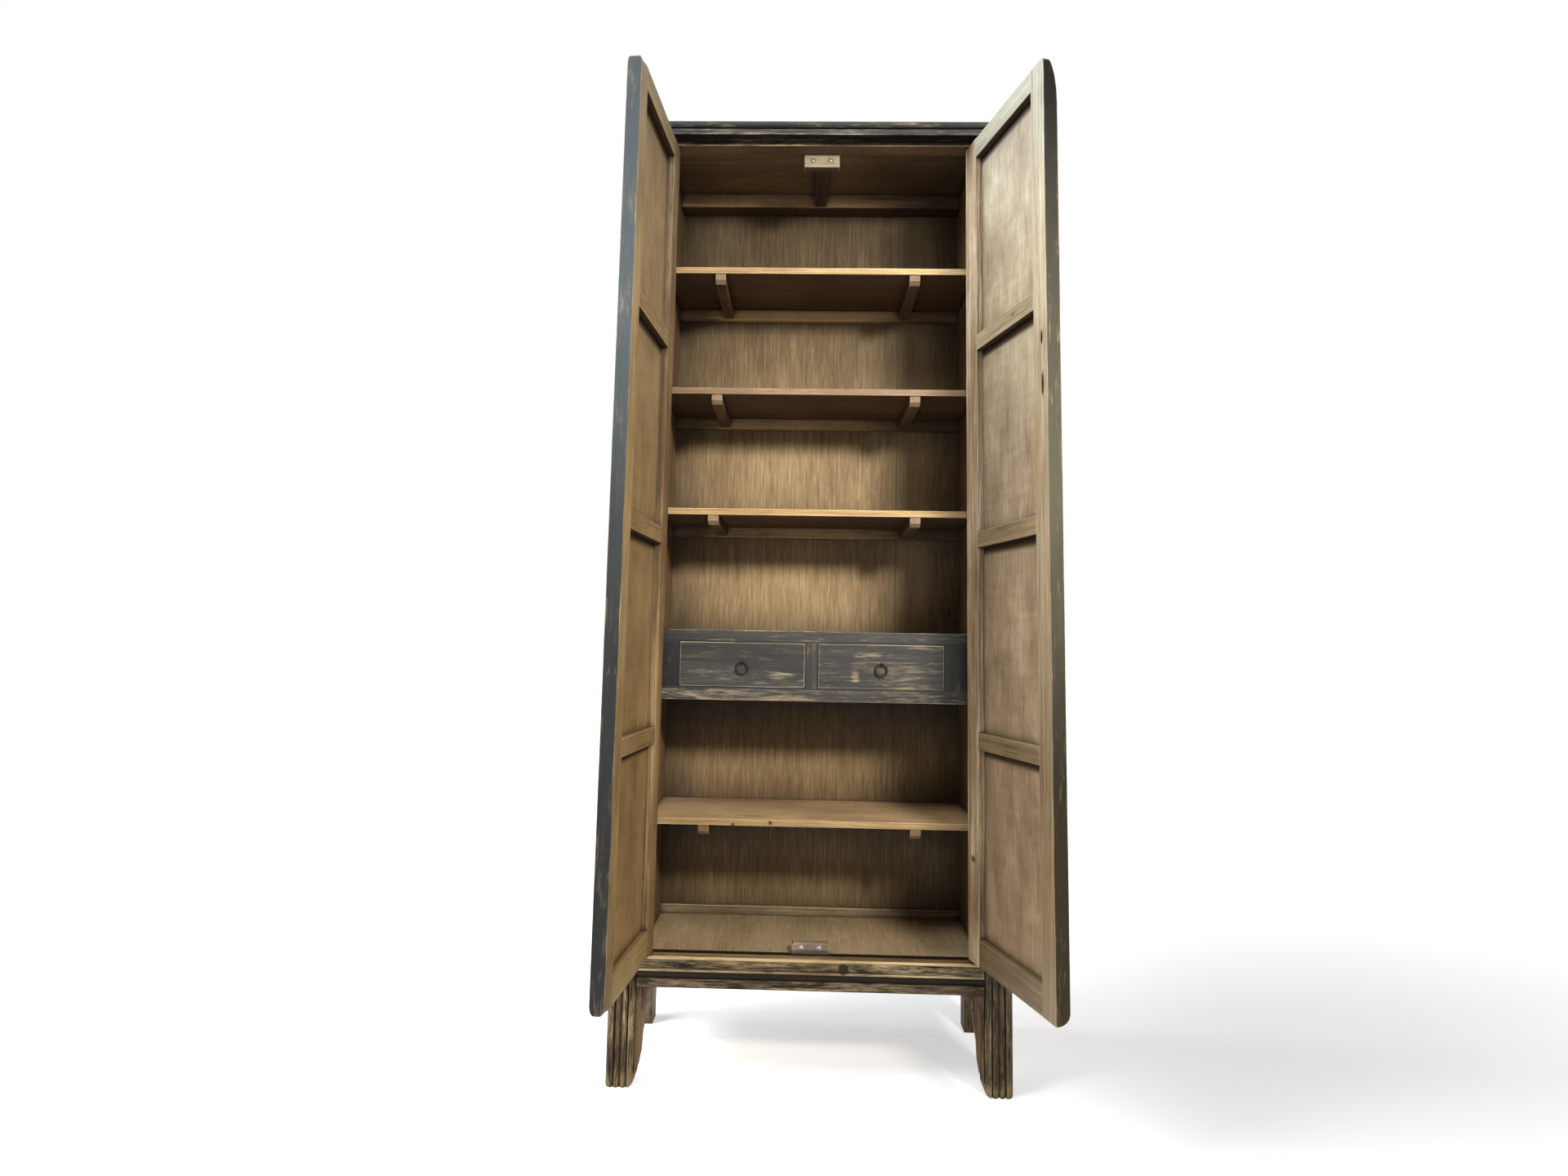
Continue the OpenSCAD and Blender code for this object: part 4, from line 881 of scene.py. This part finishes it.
def dressDoors():
    arris = 0.0006  # faces this near to a door's end or rim belong to it
    for side in ("left", "right"):
        closing = doorFrame(side)
        corners = [closing @ v.co for v in nodes["door_free_stile_" + side].data.vertices]
        low = min(corner.z for corner in corners)
        high = max(corner.z for corner in corners)
        meeting = min(abs(corner.x) for corner in corners)

        def isPainted(middle, normal):
            place = closing @ middle
            outside = (closing.to_3x3() @ normal).y < -0.2
            return int(outside or place.z < low + arris or place.z > high - arris)

        def stileFace(middle, normal):
            rim = abs((closing @ middle).x) < meeting + arris
            return 2 if rim else isPainted(middle, normal)

        # a door rail's underside takes a darker copy of the wood, as painted shade
        def railFace(middle, normal):
            return isPainted(middle, normal) or 2 * int(normal.z < -0.6)

        def worn(bm):
            roundCorners(bm, closing, side, low, high, meeting)

        rails = nodes["door_rails_" + side].data
        levels = sorted({round(p.center.z, 3) for p in rails.polygons if p.normal.z < -0.9})
        suffix = side.capitalize()
        upright = {"door_hinge_stile_": "hinge", "door_free_stile_": "door", "door_panels_": "panel"}
        for stem, look in upright.items():
            name = stem + side
            shadows = levels[1:] if "panels" in stem else ()
            bare = bareWood(name + "_wood", look + suffix, alongZ, doorMarks.get(name, ()), shadows)
            paint = wornLacquer(name + "_lacquer", "doorFace", alongZ)
            if "free" in stem:
                rim = wornLacquer(name + "_rim", "door" + suffix, alongZ)
                finishPiece(name, [bare, paint, rim], stileFace, 0.0012, worn)
            else:
                finishPiece(name, [bare, paint], isPainted, 0.0012)
        name = "door_rails_" + side
        grain = doorGrain(side)
        bare = bareWood(name + "_wood", "door" + suffix, grain, doorMarks.get(name, ()))
        paint = wornLacquer(name + "_lacquer", "doorFace", grain)
        under = bareWood(name + "_under", "railUnderShade", grain)
        finishPiece(name, [bare, paint, under], railFace, 0.0012)
        print("door", side, "has rails at", levels)
    print("doors dressed")


dressFrame()
dressInside()
dressDrawers()
dressDoors()

# The photograph's view: the camera's place is measured from the middle of the cabinet's face
view = {"across": -0.021, "back": 1.9519, "up": 0.967, "yaw": -0.0246, "pitch": 0.0519, "roll": 0.0173,
        "focal": 1099.88, "pictureWidth": 1920, "film": 36.0, "nearest": 0.05, "farthest": 60.0}


def placeCamera():
    data = bpy.data.cameras.new("camera")
    camera = addObject("camera", data)
    data.sensor_width = view["film"]
    data.lens = view["focal"] / view["pictureWidth"] * view["film"]
    data.clip_start = view["nearest"]
    data.clip_end = view["farthest"]
    yaw, pitch, roll = view["yaw"], view["pitch"], view["roll"]
    ahead = Vector((math.sin(yaw) * math.cos(pitch), math.cos(yaw) * math.cos(pitch), math.sin(pitch)))
    level = Vector((math.cos(yaw), -math.sin(yaw), 0.0))
    upright = level.cross(ahead)
    right = math.cos(roll) * level + math.sin(roll) * upright
    up = -math.sin(roll) * level + math.cos(roll) * upright
    turned = Matrix((right, up, -ahead)).transposed().to_4x4()
    place = Vector((view["across"], faceY - view["back"], view["up"]))
    camera.matrix_world = Matrix.Translation(place) @ turned
    bpy.context.scene.camera = camera


# Lamps, floor and a white surround
lamps = {
    "key": {"at": (1.1, -2.1, 2.15), "to": (-0.02, 0.1, 1.15), "size": 0.4, "power": 12.5, "spread": 56.0,
            "colour": (1.0, 0.95, 0.86)},
    "window": {"at": (-2.4, -0.9, 3.0), "to": (0.4, -0.2, 1.7), "size": 2.2, "power": 160.0,
               "spread": 180.0, "colour": (0.82, 0.92, 1.0)},
    "behind": {"at": (-2.2, -0.1, 3.3), "to": (0.4, -0.3, 1.9), "size": 2.0, "power": 70.0,
               "spread": 180.0, "colour": (0.82, 0.92, 1.0)},
    "above": {"at": (0.0, -1.3, 3.0), "to": (0.0, -0.1, 1.0), "size": 1.0, "power": 24.0, "spread": 180.0,
              "colour": (1.0, 0.98, 0.95)},
}
sun = {"from": (-1.0, -0.3, 0.78), "strength": 1.6, "softness": 45.0}
surround = {"light": 0.04, "white": 1.0}


# A lamp shines along its own -z axis
def facing(direction):
    return direction.to_track_quat("-Z", "Y").to_euler()


def placeLamps():
    for name, lamp in lamps.items():
        data = bpy.data.lights.new(name, "AREA")
        data.shape = "DISK"
        data.size = lamp["size"]
        data.energy = lamp["power"]
        data.color = lamp["colour"]
        data.spread = math.radians(lamp["spread"])
        holder = addObject(name, data)
        holder.location = lamp["at"]
        holder.rotation_euler = facing(Vector(lamp["to"]) - Vector(lamp["at"]))
    data = bpy.data.lights.new("daylight", "SUN")
    data.energy = sun["strength"]
    data.angle = math.radians(sun["softness"])
    addObject("daylight", data).rotation_euler = facing(-Vector(sun["from"]))


# 1 for what the camera, a mirror or glass shows, 0 for the light itself
def seenDirectly(tree):
    path = addNode(tree, "LightPath").outputs
    seen = calc(tree, "MAXIMUM", path["Is Camera Ray"], path["Is Glossy Ray"])
    return calc(tree, "MAXIMUM", seen, path["Is Transmission Ray"])


def makeSurround():
    world = bpy.data.worlds.new("surround")
    bpy.context.scene.world = world
    world.use_nodes = True
    tree = world.node_tree
    background = tree.nodes["Background"]
    background.inputs["Color"].default_value = (1.0, 1.0, 1.0, 1.0)
    strength = addNode(tree, "MapRange", {
        "Value": seenDirectly(tree), "To Min": surround["light"], "To Max": surround["white"]})
    tree.links.new(strength.outputs["Result"], background.inputs["Strength"])


# The floor is white far away, and greyer (near) round the cabinet, where it fades between two distances
floorLook = {"reach": 30.0, "below": 0.0005, "grey": 0.8, "near": 0.57, "more": 0.45, "fade": (1.2, 5.0)}


def makeFloor():
    bm = bmesh.new()
    bmesh.ops.create_grid(bm, x_segments=2, y_segments=2, size=floorLook["reach"])
    mesh = bpy.data.meshes.new("floor")
    bm.to_mesh(mesh)
    bm.free()
    floor = addObject("floor", mesh)
    floor.location = (0.0, 0.0, cadLow.z - floorLook["below"])
    material, tree, shader = newMaterial("floor")
    shader.inputs["Base Color"].default_value = [floorLook["grey"]] * 3 + [1.0]
    shader.inputs["Roughness"].default_value = 1.0
    shader.inputs["Specular IOR Level"].default_value = 0.0
    away = addNode(tree, "VectorMath", {0: objectPlace(tree)}, operation="LENGTH").outputs["Value"]
    far = smoothRange(tree, away, *floorLook["fade"])
    whiter = calc(tree, "MULTIPLY_ADD", far, floorLook["more"], floorLook["near"])
    glow = addNode(tree, "Emission", {"Strength": calc(tree, "MULTIPLY", seenDirectly(tree), whiter)})
    both = addNode(tree, "AddShader", {0: shader.outputs[0], 1: glow.outputs[0]})
    output = next(n for n in tree.nodes if n.type == "OUTPUT_MATERIAL")
    tree.links.new(both.outputs[0], output.inputs["Surface"])
    mesh.materials.append(material)


placeCamera()
placeLamps()
makeSurround()
makeFloor()
bpy.context.scene.view_settings.view_transform = "Standard"
print("camera, lamps and floor placed")
